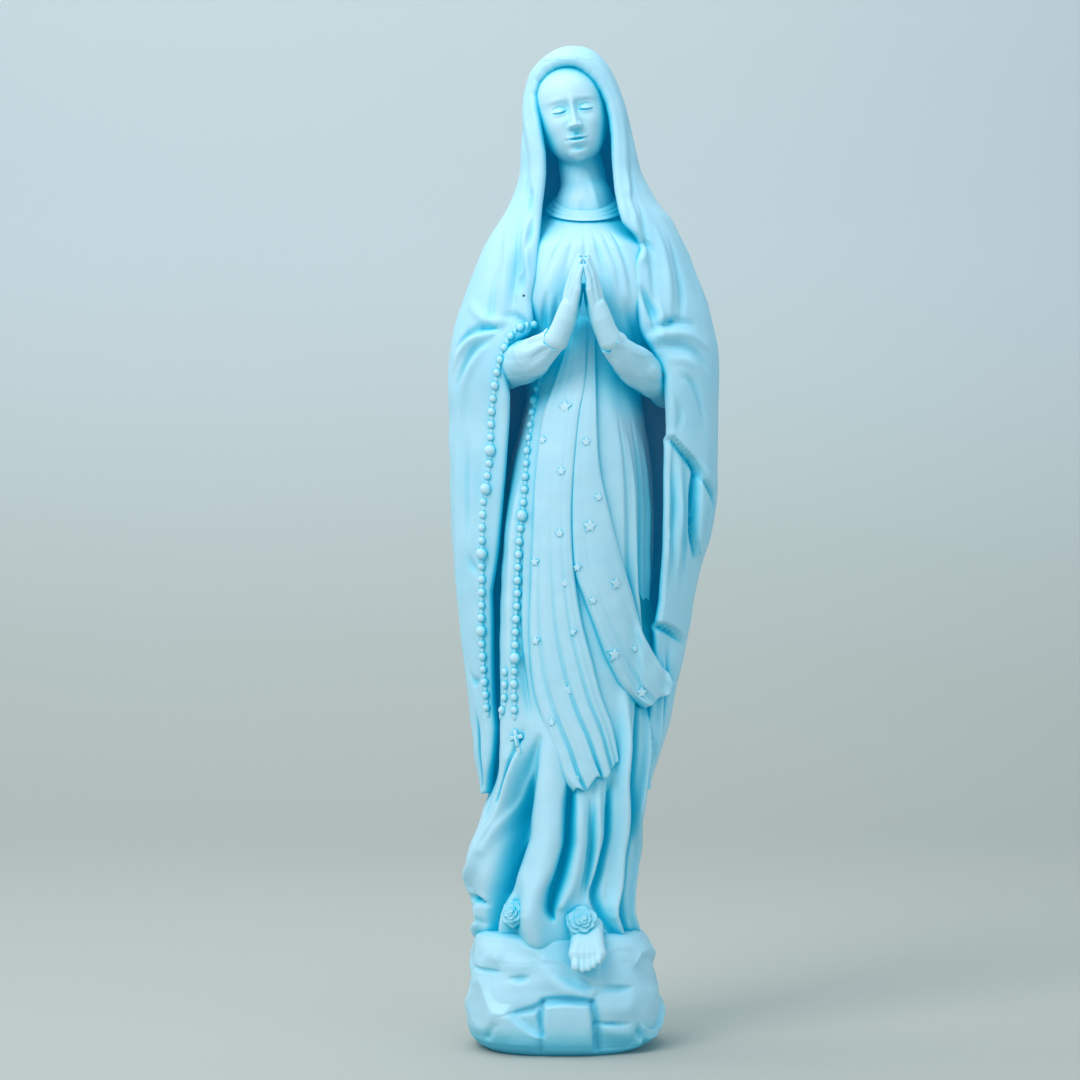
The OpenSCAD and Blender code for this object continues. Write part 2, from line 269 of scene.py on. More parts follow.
def painted_plaster_group():
    """Thin paint on cast plaster: lighter where it is rubbed, with painted shade, deep and blue, in the folds and
    hollows, a fine brushed grain and a scatter of casting pinholes with painted shade in them."""
    group, given, out = node_group(
        "painted_plaster",
        [("Paint", "Color", (0.5, 0.8, 0.9, 1)), ("Rubbed", "Color", (0.7, 0.9, 0.95, 1)),
         ("PaintedShade", "Float", 1.0), ("Grain", "Float", 1.0), ("Pinholes", "Float", 1.0)],
        [("Color", "Color"), ("Roughness", "Float"), ("Gloss", "Float"), ("Depth", "Float"), ("Height", "Float")])
    link = group.links.new
    where = node(group, "TexCoord").outputs["Object"]
    # painted shade: ambient occlusion reads how open each point is; the paint is darkened to a deep teal in folds,
    # hollows and the gaps between pieces, and the gloss is lowered there
    shelter = node(group, "AmbientOcclusion", samples=6, Distance=0.014).outputs["AO"]
    openness = maths(group, "MULTIPLY_ADD", shelter, 1.4, -0.30, clamp=True)
    link(maths(group, "MULTIPLY_ADD", openness, 0.26, 0.02), out.inputs["Gloss"])
    link(spread(group, openness, 0.5, 0.0, smooth=True), out.inputs["Depth"])
    painted_shade_ramp = node(group, "ValToRGB")
    painted_shade_ramp.color_ramp.elements[0].color = (0.0, 0.45, 0.56, 1)
    painted_shade_ramp.color_ramp.elements[1].color = (1, 1, 1, 1)
    for place, colour in ((0.22, (0.004, 0.62, 0.74, 1)), (0.45, (0.07, 0.78, 0.88, 1)),
                          (0.72, (0.42, 0.90, 0.95, 1)), (0.88, (0.78, 0.965, 0.985, 1))):
        painted_shade_ramp.color_ramp.elements.new(place).color = colour
    link(openness, painted_shade_ramp.inputs["Fac"])
    # paint, thinner in clouds and rubbed back on the sharp edges
    cloud = noise(group, where, 55.0, 4.0, 0.6).outputs["Fac"]
    worn = mixed(group, spread(group, cloud, 0.35, 0.75, 0, 0.38), given.outputs["Paint"], given.outputs["Rubbed"])
    edges = spread(group, node(group, "NewGeometry").outputs["Pointiness"], 0.52, 0.62, 0, 0.6, smooth=True)
    rubbed = mixed(group, edges, worn, given.outputs["Rubbed"])
    # the paint darkened by the painted shade
    with_painted_shade = mixed(group, given.outputs["PaintedShade"], rubbed, painted_shade_ramp.outputs["Color"], "MULTIPLY")
    # pinholes, in a few of the cells only
    cells = node(group, "TexVoronoi", feature="F1", Scale=62.0, Randomness=1.0)
    link(where, cells.inputs["Vector"])
    chance = node(group, "SeparateColor")
    link(cells.outputs["Color"], chance.inputs["Color"])
    rare = maths(group, "GREATER_THAN", chance.outputs[0], 0.955)
    spot = spread(group, cells.outputs["Distance"], 0.045, 0.022, smooth=True)
    hole = maths(group, "MULTIPLY", rare, spot, clamp=True)
    holes = maths(group, "MULTIPLY", hole, given.outputs["Pinholes"], clamp=True)
    # painted shade: the pinholes are coloured near black inside, on top of their dent in the bump
    link(mixed(group, holes, with_painted_shade, (0.0, 0.03, 0.05, 1)), out.inputs["Color"])
    # brush grain, and the depth of the pinholes
    fine = noise(group, where, 900.0, 3.0, 0.65).outputs["Fac"]
    broad = noise(group, where, 210.0, 3.0, 0.55).outputs["Fac"]
    grain = maths(group, "MULTIPLY", maths(group, "MULTIPLY_ADD", fine, 0.35, broad), given.outputs["Grain"])
    link(maths(group, "MULTIPLY_ADD", holes, -6.0, grain), out.inputs["Height"])
    link(spread(group, cloud, 0, 1, 0.36, 0.58), out.inputs["Roughness"])
    return group


PLASTER = painted_plaster_group()
# painted glow: a faint teal emission in the sheltered folds stands in for the light bounced from wall to wall there
INNER_LIGHT, INNER_COLOUR = 0.12, (0.0, 0.62, 1.0, 1)   # light handed on from wall to wall in the narrow folds


def plaster(name, paint, rubbed=(0.66, 0.86, 0.94), painted_shade_amount=1.0, grain=1.0, pinholes=1.0):
    material = bpy.data.materials.new(name)
    material.use_nodes = True
    tree = material.node_tree
    shader = tree.nodes["Principled BSDF"]
    surface = tree.nodes.new("ShaderNodeGroup")
    surface.node_tree = PLASTER
    for key, value in (("Paint", (*paint, 1)), ("Rubbed", (*rubbed, 1)),
                       ("PaintedShade", painted_shade_amount), ("Grain", grain), ("Pinholes", pinholes)):
        surface.inputs[key].default_value = value
    bump = node(tree, "Bump", Strength=0.28, Distance=0.00025)
    tree.links.new(surface.outputs["Height"], bump.inputs["Height"])
    # painted glow: the sheltered folds give off a little teal light of their own
    inner = maths(tree, "MULTIPLY", surface.outputs["Depth"], INNER_LIGHT * painted_shade_amount)
    for label, value in (("IOR", 1.45), ("Base Color", surface.outputs["Color"]),
                         ("Emission Strength", inner), ("Emission Color", INNER_COLOUR),
                         ("Specular IOR Level", surface.outputs["Gloss"]),
                         ("Roughness", surface.outputs["Roughness"]), ("Normal", bump.outputs["Normal"])):
        feed(tree, shader.inputs[label], value)
    return material


rock_paint = plaster("rock_paint", (0.44, 0.745, 0.88), painted_shade_amount=0.7, grain=1.8)

ROCK_SQUARENESS = 2.6   # over 2 draws the plan out from an oval towards a square
CHISEL_CUTS, DEEPEST_CUT = 46, 3.0
OFF_SIDE = 1e4          # a place across that no stroke reaches
ROCK_CUTS = [  # cracks, ledges and tool cuts across the front
    (1.0, [(-9, 22.5, 1.0, -1.4), (-2, 22.9, 1.2, -2.0), (5, 22.6, 1.2, -2.0), (10.5, 21.8, 1.0, -1.5)]),
    (1.0, [(-9.6, 21.5, 1.0, -1.5), (-10.4, 16, 1.3, -1.8), (-9.5, 11, 0.9, -1.2), (-9.6, 4, 1.1, -1.4),
           (-9.8, 0, 1.0, -1.2)]),
    (1.0, [(11, 21.8, 1.1, -1.6), (12, 15, 1.5, -1.9), (12.3, 8, 1.9, -2.0), (13, 1, 1.5, -1.5)]),
    (1.4, [(-24, 16.5, 0.8, -0.5), (-18, 18.2, 1.2, -1.7), (-12, 20, 1.4, -1.8), (-9.4, 22, 1.0, -0.8)]),
    (1.0, [(12, 13.4, 0.7, -0.9), (19, 13.1, 0.8, -1.4), (26, 12.6, 0.7, -0.5)]),
    (1.0, [(30, 11.5, 1.0, -0.5), (30.5, 8, 1.2, -1.6), (31, 3, 1.0, -1.0)]),
    (1.0, [(-22.5, 30.3, 0.9, -0.8), (-19, 30.4, 1.3, -1.7), (-15.5, 31, 1.0, -0.6)]),
    (1.0, [(-36, 33.4, 0.7, -0.8), (-31, 32.8, 0.8, -1.1), (-27, 32.6, 0.6, -0.3)]),
    (1.0, [(-4, 33.5, 1.6, -0.6), (4, 29.6, 1.7, -1.1), (14, 27.6, 1.4, -1.1), (24, 26.3, 1.2, -1.5),
           (27, 26.4, 0.8, -0.6)]),
    (1.0, [(-12, 40, 4.0, 0.8), (-7, 34, 5.0, 1.9), (-1, 28, 3.6, 2.2), (6, 24.8, 2.4, 1.2)]),
    (1.0, [(-32, 40, 3.5, 0.6), (-24, 37, 4.0, 1.3), (-16, 35.5, 3.0, 0.7)]),
    (1.0, [(31, 33, 2.0, -0.9), (34, 29, 2.5, -1.3), (39, 25, 2.0, -0.9)]),
    (1.0, [(-30, 25, 6.0, 1.2), (-27, 16, 6.0, 1.4), (-25, 9, 5.0, 0.9)]),
    (1.0, [(-27, 12, 1.2, -0.7), (-30, 7, 1.4, -0.9)]),
    (1.0, [(18, 10.5, 3.2, 0.8), (25, 8, 3.4, 1.1)]),
    (1.0, [(16, 20, 4.0, 0.9), (25, 19.5, 4.0, 1.2)])]
DRESSED_STONE = [(-8.4, 20.6), (-9, 14), (-8.2, 1), (11, 1), (11, 9), (10, 17), (9.2, 20.8), (0, 21.6)]


def chisel(x, y, z):
    """Flat chisel cuts: planes laid against a rounded block, and all that stands above them taken off."""
    rng = np.random.default_rng(12)
    taken = np.zeros_like(x)
    for _ in range(CHISEL_CUTS):
        turn, rise = rng.uniform(-math.pi, math.pi), rng.uniform(1, 44)
        way = np.array([math.sin(turn + rng.normal(0, 0.16)), -math.cos(turn + rng.normal(0, 0.16)),
                        rng.normal(0.05, 0.34)])
        way /= np.linalg.norm(way)
        px, py = body_point(ROCK_SECTIONS, np.array([turn]), np.array([rise]), 0, ROCK_SQUARENESS)
        over = (x - px) * way[0] + (y - py) * way[1] + (z - rise) * way[2] + rng.uniform(0.2, 0.8)
        away = (x - px) ** 2 + (y - py) ** 2 + (z - rise) ** 2
        taken = np.maximum(taken, over - 1.8 * (away / 300) ** 2)
    return (1.2 - np.minimum(taken, DEEPEST_CUT)) * np.clip((44 - z) / 8, 0, 1) * np.clip(z / 5, 0.3, 1)


def rock_skin(across, up):
    angle = (across * 2 - 1) * math.pi
    z = flow(up, np.linspace(0, 1, len(ROCK_SECTIONS)), [row[0] for row in ROCK_SECTIONS])
    x, y = body_point(ROCK_SECTIONS, angle, z, 0, ROCK_SQUARENESS)
    cut = chisel(x, y, z) + lumps(x, y, z, 9, 5) * 0.22
    stone = plate(x, z, DRESSED_STONE, 1, 2.2) * (y < 0)
    relief = cut * (1 - stone) + stone + strokes(np.where(y < 0, x, OFF_SIDE), z, ROCK_CUTS)
    cuts_behind = [(lean, [(-across, height - 3, wide * 1.2, deep) for across, height, wide, deep in points])
                   for lean, points in ROCK_CUTS[5:]]
    behind = strokes(np.where(y > 0, x, OFF_SIDE), z, cuts_behind)
    fade = np.clip(z / 3, 0, 1) * np.clip((46.5 - z) / 4, 0, 1)
    x, y = body_point(ROCK_SECTIONS, angle, z, (relief + behind - 0.6) * fade, ROCK_SQUARENESS)
    top = np.clip((z - 43) / 3, 0, 1)
    return x, y, z + top * lumps(x, y, z, 15, 8) * 0.5


rock = sew(clay_sheet("rock_base_carved", 360, 190, rock_skin), 60)
finish_piece(rock, rock_paint, "rock_paint", "rock_base")

# Pour plug: a disc of bare plaster pushed into the casting hole under the base once the base had set,
# a little above the resting face. It was never painted.
raw_plaster = plaster("raw_plaster", (0.72, 0.70, 0.65), rubbed=(0.8, 0.79, 0.75), painted_shade_amount=0.0, grain=2.5)


def coat(name, material):
    """Gives a piece of the frame that is shown as it is a material of its own."""
    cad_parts[name].data.materials.clear()
    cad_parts[name].data.materials.append(material)


coat("pour_plug", raw_plaster)

# Steel pins: cut lengths of drawn wire that hold the castings together, bonded in and out of sight.
# Two stand in the base, one in the neck and a thin one in each forearm.
pin_steel = bpy.data.materials.new("drawn_steel")
pin_steel.use_nodes = True
tree = pin_steel.node_tree
shader = tree.nodes["Principled BSDF"]
shader.inputs["Metallic"].default_value = 1.0
stretch = node(tree, "Mapping", Scale=(1, 1, 0.06))
tree.links.new(node(tree, "TexCoord").outputs["Object"], stretch.inputs["Vector"])
drawn = noise(tree, stretch.outputs["Vector"], 400.0, 4.0).outputs["Fac"]
tree.links.new(spread(tree, drawn, 0, 1, 0.3, 0.55), shader.inputs["Roughness"])
dull = node(tree, "ValToRGB")
dull.color_ramp.elements[0].color = (0.30, 0.29, 0.28, 1)
dull.color_ramp.elements[1].color = (0.56, 0.57, 0.58, 1)
tree.links.new(drawn, dull.inputs["Fac"])
tree.links.new(dull.outputs["Color"], shader.inputs["Base Color"])
for name in ("base_dowels", "neck_dowel", "right_arm_wire", "left_arm_wire"):
    coat(name, pin_steel)

# Gown: a hollow plaster casting from the hem on the rock to the neckline. The cloth falls in long
# pleats from the waist, breaks over the advanced right leg and sweeps back from it in a deep fold.
gown_paint = plaster("gown_paint", (0.48, 0.775, 0.905))

GOWN_SECTIONS = [
    (44, -33.6, 28.2, 29.6, 26), (48, -35.4, 28.6, 30.4, 26.6), (54, -36.8, 27.8, 30.5, 27),
    (62, -38, 26.8, 30, 27),
    (70, -39.5, 27.2, 29.5, 27), (78, -38.5, 28.4, 29, 27), (86, -35.2, 30.4, 28.5, 27),
    (95, -32.6, 32.5, 28, 26),
    (110, -28.8, 33, 28, 25), (135, -27.6, 33, 28.5, 25), (165, -27.8, 33.5, 29.5, 25),
    (190, -27, 35, 30.5, 25),
    (212, -25.3, 35.6, 31, 25), (235, -22.2, 34.2, 31, 24), (250, -17.8, 32, 29.5, 23),
    (262, -15.5, 31, 26.6, 22),
    (275, -22, 38, 25.4, 24.5), (288, -31, 47, 27.4, 25.5), (300, -33.5, 49.5, 28.4, 26),
    (312, -29.5, 45.5, 27.0, 25.5),
    (320, -24, 39.5, 24.2, 23.5), (326, -16, 31, 19.8, 19.8), (331, -9, 24.4, 15.9, 16),
    (335, -5.2, 21, 13.3, 13.6)]
GOWN_RADIUS = 31
GOWN_FRONT = [
    # the advanced leg, down its middle to the toe that lifts the hem
    (1.0, [(-4.2, 147.9, 6, 0), (-5.2, 128.1, 6.5, 2.0), (-6.1, 104.2, 6.5, 3.4), (-6.6, 84.5, 6.0, 4.0),
           (-8.6, 71.7, 5.4, 4.2), (-12.1, 60.8, 4.6, 4.4), (-12.9, 52.9, 4.8, 4.6), (-11.6, 47.6, 4.5, 3.4)]),
    # the deep fold swept back from the leg
    (1.0, [(-9.1, 126, 1.4, 0), (-12, 116, 2.4, -3.6), (-15, 105, 3.4, -6.0), (-18.7, 93, 4.6, -8.0),
           (-22, 79, 5.4, -8.6), (-25.6, 68, 4.6, -7.6), (-28.4, 60, 3.6, -6.6), (-29.2, 52, 3.0, -5.6),
           (-28.9, 44.7, 3.0, -4.4)]),
    (1.0, [(-26, 66, 1.6, 0), (-27, 58, 1.8, 0.8), (-26.6, 50, 1.8, 0.9), (-26, 45, 1.8, 0.6)]),
    (1.0, [(-18.1, 85.2, 1.1, 0), (-21, 78.3, 1.3, -2.4), (-25, 69.2, 1.3, -2.6), (-28, 61.9, 1.2, -1.8)]),
    (1.0, [(-17, 69.6, 1.4, 0), (-19.4, 63, 3.0, -1.4), (-20.6, 55, 3.2, -1.8), (-20.6, 46, 3.0, -1.2)]),
    # ridges on the near side of the sweep
    (1.2, [(-15.6, 125.8, 2.2, 0), (-18.6, 110.8, 2.4, 2.2), (-24.1, 95.6, 2.6, 2.8),
           (-31.1, 84.2, 3.0, 2.6), (-36.2, 72.9, 3.4, 2.4), (-38.3, 64.3, 3.0, 1.6), (-36.3, 57.3, 2.0, 0.4)]),
    (1.0, [(-14.6, 128.8, 0.9, 0), (-18.1, 116.8, 1.0, -1.6), (-22.9, 104.6, 1.0, -1.9),
           (-26.4, 98.4, 0.8, -0.6)]),
    (1.0, [(-9.6, 124, 1.6, 0), (-14.6, 108, 1.8, 2.6), (-19.6, 96.9, 2.0, 3.0), (-26.1, 87.6, 2.2, 2.6),
           (-31.6, 79.4, 2.2, 1.2)]),
    (1.0, [(-22.1, 121.5, 0.9, 0), (-25.1, 111.4, 1.0, -1.2), (-28.7, 101.1, 1.0, -1.3),
           (-32.2, 90.7, 1.0, -0.4)]),
    # the curl of hem at the far left
    (1.0, [(-37.1, 59.8, 0.9, -1.2), (-34.2, 59.2, 0.9, -1.8), (-32.1, 57.9, 0.9, -0.9)]),
    (1.0, [(-34.7, 55.8, 2.2, 1.4), (-34.2, 51.8, 2.0, 1.6)]),
    (1.0, [(-34.2, 49.1, 2.0, 2.0), (-34.8, 45.3, 2.4, 2.4), (-34.3, 42.3, 2.2, 1.4)]),
    (1.0, [(-37.3, 50.5, 0.8, -1.0), (-34.2, 51.3, 0.8, -1.2), (-32.1, 50.8, 0.8, -0.6)]),
    # the narrow dark pleat beside the leg
    (1.0, [(2.8, 110.2, 0.9, 0), (1.6, 101.3, 1.5, -5.0), (1.1, 90.4, 1.6, -6.0), (0.3, 80.6, 1.6, -6.0),
           (-2.6, 70.7, 1.8, -5.8), (-5.6, 62.4, 1.8, -5.2), (-6.1, 56, 1.3, -3.6), (-4.4, 52.6, 0.8, 0)]),
    # broad pleats in the middle
    (1.0, [(5.8, 106.2, 2.8, 0), (5.6, 93.3, 3.0, 1.8), (4.8, 78.5, 3.0, 2.0), (2.2, 66.7, 2.6, 1.9),
           (-1.8, 58.9, 2.0, 1.3)]),
    (1.0, [(10, 102.2, 0.9, 0), (9.9, 88.3, 1.1, -1.3), (9.5, 76.3, 1.3, -1.7), (7.7, 64.5, 1.6, -1.3),
           (6.7, 58.7, 1.4, 0)]),
    (1.0, [(12.7, 110.1, 1.8, 0), (12.7, 96.2, 1.9, 1.5), (11.9, 78.2, 1.7, 1.3), (9.7, 66.4, 1.5, 0.5)]),
    (1.0, [(17.5, 109.9, 0.8, 0), (17.1, 98, 1.1, -2.4), (16, 82, 1.2, -2.9), (13.7, 71.1, 1.6, -3.0),
           (11.9, 61, 2.0, -3.2), (13.9, 55.1, 1.6, -2.6), (17.1, 49.3, 1.0, -1.6), (20.8, 45.3, 0.7, -0.8)]),
    (0.8, [(23, 147.6, 2.4, 0), (23, 127.6, 2.6, 3.0), (21.8, 103.7, 2.6, 3.4), (20.7, 80.6, 2.4, 3.2),
           (19.1, 63.7, 2.2, 3.0), (18.2, 54, 2.0, 2.4), (21.3, 46.8, 1.8, 1.6)]),
    (1.0, [(29.2, 147.3, 1.0, 0), (28.6, 129.3, 1.5, -5.0), (27.7, 115.1, 1.6, -6.2), (26, 97.8, 1.7, -6.8),
           (24.9, 80.1, 1.7, -6.8), (23.4, 65.4, 1.7, -6.6), (22.8, 54.8, 1.9, -5.6),
           (24.3, 48.3, 1.6, -3.4), (26, 45.6, 1, -1)]),
    (1.0, [(31.8, 145, 1.2, 0), (31.4, 126.9, 1.3, 2.2), (30, 109, 1.4, 2.6), (28.1, 95.2, 1.4, 2.4),
           (27.2, 73.4, 1.3, 2.0), (25.8, 61.4, 1.3, 1.8), (25.9, 52.7, 1.4, 1.8), (27.9, 45.4, 1.5, 1.6)]),
    # pleats right of the sash, from the waist down
    (1.0, [(14.7, 265, 3.0, 0), (19.7, 247.1, 4.0, 0.9), (22.2, 222.3, 4.0, 1.2), (22.7, 197.4, 3.5, 0.5)]),
    (1.0, [(20.2, 253.1, 0.8, 0), (22.5, 235.2, 0.9, -0.8), (23.9, 212.3, 1.0, -1.2),
           (24.7, 187.5, 1.1, -1.5), (27.3, 165.4, 1.1, -1.7), (27.9, 147.4, 1.2, -1.4)]),
    (1.0, [(25.8, 251.3, 0.8, 0), (28.8, 233.4, 1.0, -1.2), (29.9, 209.4, 1.1, -1.9),
           (29.7, 187.4, 1.2, -2.4), (31.1, 162.2, 1.2, -2.4), (31.7, 147, 1.1, -1.2)]),
    (1.0, [(23.2, 247.2, 1.4, 0), (25.9, 229.3, 1.5, 0.9), (27, 205.4, 1.5, 1.4), (27.4, 183.4, 1.5, 1.7),
           (29.2, 163.3, 1.4, 1.7), (29.6, 147.2, 1.3, 1.0)]),
    (1.0, [(30, 243.5, 1.4, 0), (32.2, 225.5, 1.5, 1.1), (32.6, 202.4, 1.5, 1.5), (32.3, 179.3, 1.4, 1.5),
           (32.6, 157, 1.3, 1.2)]),
    # soft pleats left of the sash, under the inner strand
    (1.0, [(-13.1, 237.2, 1.6, 0), (-16.6, 212.4, 1.8, 0.9), (-18.1, 187.5, 1.9, 1.2),
           (-18.6, 162.5, 2.0, 1.3), (-17.6, 142.7, 2.0, 0.8)]),
    (1.0, [(-14.3, 211.3, 0.9, 0), (-15.9, 187.5, 1.0, -1.1), (-16.3, 162.6, 1.1, -1.3),
           (-14.6, 142.8, 1.1, -1.4), (-12.6, 129.9, 1.0, 0)]),
    (1.0, [(-22.7, 219.5, 1.2, 0), (-24.2, 192.4, 1.4, -1.0), (-24.8, 162.3, 1.5, -1.4),
           (-24.4, 137.3, 1.5, -1.4), (-24.1, 122.4, 1.4, -0.4)]),
    # gathers hanging from the neck band over the breast
    (1.0, [(-3.6, 319.2, 3.2, 0), (-5.6, 306, 6.0, 1.6), (-5.6, 295, 6.2, 2.2), (-4.6, 285.1, 5.0, 0.8)]),
    (1.0, [(18.3, 319.2, 3.2, 0), (20.2, 305.9, 6.0, 1.6), (20.5, 294.9, 6.2, 2.2), (19.8, 285.1, 5.0, 0.8)]),
    (1.0, [(7.5, 326.4, 0.5, 0), (7.5, 321, 0.7, -0.5), (7.8, 313.7, 0.9, -0.5), (7.9, 305.6, 1.0, 0)]),
    (1.0, [(10.9, 326, 0.5, 0), (12.2, 319, 0.8, -0.8), (14.3, 310.7, 1.0, -0.9), (16.5, 302.7, 1.2, -0.5),
           (17.5, 295.8, 1.2, 0)]),
    (1.0, [(14.3, 326.6, 0.5, 0), (16.4, 319.1, 0.8, -0.7), (19.4, 310.9, 1.0, -0.8),
           (20.9, 301.9, 1.2, -0.8), (20.7, 293, 1.4, 0)]),
    (1.0, [(17.4, 327.3, 0.5, 0), (20.3, 320.4, 0.8, -0.8), (23.2, 312.2, 1.0, -1.0),
           (25.4, 302.2, 1.3, -0.9), (26.1, 292.4, 1.4, 0)]),
    (1.0, [(3.7, 326, 0.5, 0), (2.4, 319, 0.8, -0.5), (0.6, 310.7, 1.0, -0.4), (-0.2, 302.7, 1.1, 0)]),
    (1.0, [(0.5, 326.6, 0.5, 0), (-2.3, 319.1, 0.8, -0.6), (-5.3, 311, 1.0, -0.4), (-7.1, 301, 1.3, 0)]),
    (1.0, [(-6.3, 300, 0.8, 0), (-7.6, 293.1, 1.0, -1.4), (-8.5, 287.3, 1.1, -1.6), (-8.7, 282.4, 1.0, 0)]),
    (1.0, [(-2.6, 298.8, 0.7, 0), (-3.3, 291.9, 1.0, -1.2), (-4.1, 286.1, 1.1, -1.4), (-4.1, 281.1, 1.0, 0)]),
    (1.0, [(22.8, 297.1, 1.2, 0), (24.8, 290.3, 1.6, -1.4), (27.5, 283.7, 1.6, -1.2), (29.2, 278.1, 1.4, 0)])]


SIDE_LIMIT = 0.985   # how near its outline a body still counts as front


def on_front(sections, radius, x, z):
    """How far round a body's front a point seen from the front lies, in millimetres at a set radius."""
    mid, half = sections_at(sections, z)[:2]
    return radius * np.arcsin(np.clip((x - mid) / half, -SIDE_LIMIT, SIDE_LIMIT))


def wrapped(sections, radius, paths):
    return [(lean, [(float(on_front(sections, radius, p[0], p[1])), *p[1:]) for p in points])
            for lean, points in paths]


GOWN_STROKES = wrapped(GOWN_SECTIONS, GOWN_RADIUS, GOWN_FRONT)


def gown_relief(angle, z):
    s = angle * GOWN_RADIUS
    deeper = 1 + 0.45 * np.clip((150 - z) / 30, 0, 1)
    side = np.clip((np.abs(angle) - 1.5) / 0.6, 0, 1)
    low = np.clip((150 - z) / 90, 0, 1)
    beside = ((5.0 * np.exp(-((angle + 0.86) / 0.30) ** 2) - 2.6 * np.exp(-((angle + 1.42) / 0.32) ** 2))
              * np.clip((258 - z) / 50, 0, 1) * np.clip((z - 92) / 24, 0, 1))
    pleats = np.sin(angle * 11 + np.sin(z / 31) * 0.8) + 0.6 * np.sin(angle * 19 + z / 40 + 1.2)
    return (strokes(s, z, GOWN_STROKES) * deeper + beside + side * low * 1.9 * pleats
            + 0.16 * lumps(s, z, z * 0, 11, 21))


def gown_skin(across, up):
    t = across * 2 - 1
    angle = math.pi * (0.55 * t + 0.45 * t ** 3)
    z = flow(up, (0, 0.45, 1), (43.5, 165, 335))
    x, y = body_point(GOWN_SECTIONS, angle, z, gown_relief(angle, z))
    hem = np.clip((53 - z) / 8, 0, 1)
    neckline = np.clip((z - 318) / 16, 0, 1)
    return x, y, z - 1.6 * hem + hem * 0.9 * np.sin(angle * 9 + 1) - 5.0 * np.cos(angle) * neckline


gown = sew(clay_sheet("gown_draped", 300, 320, gown_skin), 80)
finish_piece(gown, gown_paint, "gown_paint", "gown")

# Neck band: a rolled collar with two fine grooves, laid round the neckline of the gown and dipping
# a little in front.
BAND_MID = (7.9, -0.2, 336.4)
BAND_REACH = (13.2, 13.2)
BAND_DIP = 5.8
BAND_HIGH, BAND_THICK, BAND_FLARE = 2.4, 0.75, 2.3


def band_skin(across, up):
    round_neck, round_roll = (across * 2 - 1) * math.pi, up * 2 * math.pi
    rise = BAND_HIGH * np.sin(round_roll)
    groove = 0.34 * np.exp(-((rise - 0.5) / 0.34) ** 2) + 0.3 * np.exp(-((rise + 0.9) / 0.3) ** 2)
    out = (BAND_THICK - groove) * np.sign(np.cos(round_roll)) * np.abs(np.cos(round_roll)) ** 0.6
    out = out - BAND_FLARE * rise / BAND_HIGH
    x = BAND_MID[0] + (BAND_REACH[0] + out) * np.sin(round_neck)
    y = BAND_MID[1] - (BAND_REACH[1] + out) * np.cos(round_neck)
    return x, y, BAND_MID[2] - BAND_DIP * np.cos(round_neck) + rise


band = sew(clay_sheet("neck_band_rolled", 180, 56, band_skin))
finish_piece(band, gown_paint, "gown_paint", "neck_band")

# Mantle: veil and cloak in one plaster shell, open down the front and bonded over head and shoulders.
# It is raised over both forearms, hangs in stepped points on the figure's left and in one long
# fall on its right, and its front edge is rolled all the way round the face.
mantle_paint = plaster("mantle_paint", (0.42, 0.75, 0.90))

MANTLE_SECTIONS = [
    (99, -34, 34.6, 22, 29), (106, -34.6, 34.8, 22.5, 29.3), (116, -36.4, 38, 23, 29.6),
    (126, -37.4, 41.2, 23.4, 30), (142, -39.2, 44.6, 24.4, 30.6), (158, -41, 48.4, 25.6, 31.2),
    (175, -43, 51.4, 27, 32), (190, -44.4, 54.4, 28.2, 32.4), (200, -45.2, 57.4, 29, 32.8),
    (212, -45.7, 60.2, 29.6, 33), (232, -46.3, 61.2, 30.6, 33), (256, -46.4, 61.4, 31, 33),
    (268.3, -46.5, 61.8, 31, 33), (279.4, -45.7, 61.1, 31, 33), (289.6, -43.6, 59.2, 30.6, 32.6),
    (297.7, -40.9, 56.7, 29.8, 32), (304.8, -38.4, 54.2, 28.8, 31.4), (311.9, -35.7, 51.4, 27.6, 30.8),
    (319, -32.6, 48.5, 26.2, 30.2), (325.1, -29.2, 45.6, 24.8, 29.4), (330.6, -25.7, 42.6, 23.2, 28.6),
    (336.2, -22.4, 37.8, 21.6, 28), (341.3, -20.1, 34.7, 20.4, 27.6), (348.4, -18.2, 31, 19.4, 27.4),
    (357.5, -17.6, 28.6, 18.9, 27.3), (366.6, -17.1, 26.7, 18.7, 27.2), (375.8, -16.3, 24.5, 18.3, 26.6),
    (382.8, -15.1, 22, 17.4, 25), (387.9, -13.6, 19.8, 16, 23), (391.5, -11.9, 17.7, 14.4, 20.8),
    (394.5, -9.6, 15.3, 12.2, 17.4), (397, -6.5, 12.7, 9.2, 13), (398.6, -3.2, 10, 6.2, 9),
    (399.5, -0.4, 7.3, 3.6, 5), (399.9, 2.3, 4.7, 1.2, 1.6)]
MANTLE_RADIUS = 40
RIGHT_FRONT_EDGE = [  # height, place across
    (95.7, -33.9), (105.8, -32.6), (117.3, -30.7), (127.4, -29.6), (137.5, -30.6), (150.2, -31),
    (169.5, -31.1), (181.5, -31.3), (200.4, -28.6), (212.3, -27.6), (225.9, -26.4), (242.1, -25.2),
    (251, -24.6), (258.9, -24.2), (262.9, -24.8), (268.8, -25.5), (275.4, -25.3), (279.5, -23),
    (282.2, -19.6), (283.9, -16.3), (286.5, -14.9), (290.5, -15.2), (296.5, -15.5), (301.5, -14.3),
    (306.5, -13.4), (316.6, -13.1), (325.8, -12.7), (335.1, -11.9), (341.3, -11.2), (347.3, -10.7),
    (355.4, -10.9), (362.4, -12), (372.6, -13.7), (379.9, -14.2), (385.9, -12.5), (389.9, -9.2),
    (391.9, -5.3), (392.6, -1.8), (392.7, 1)]
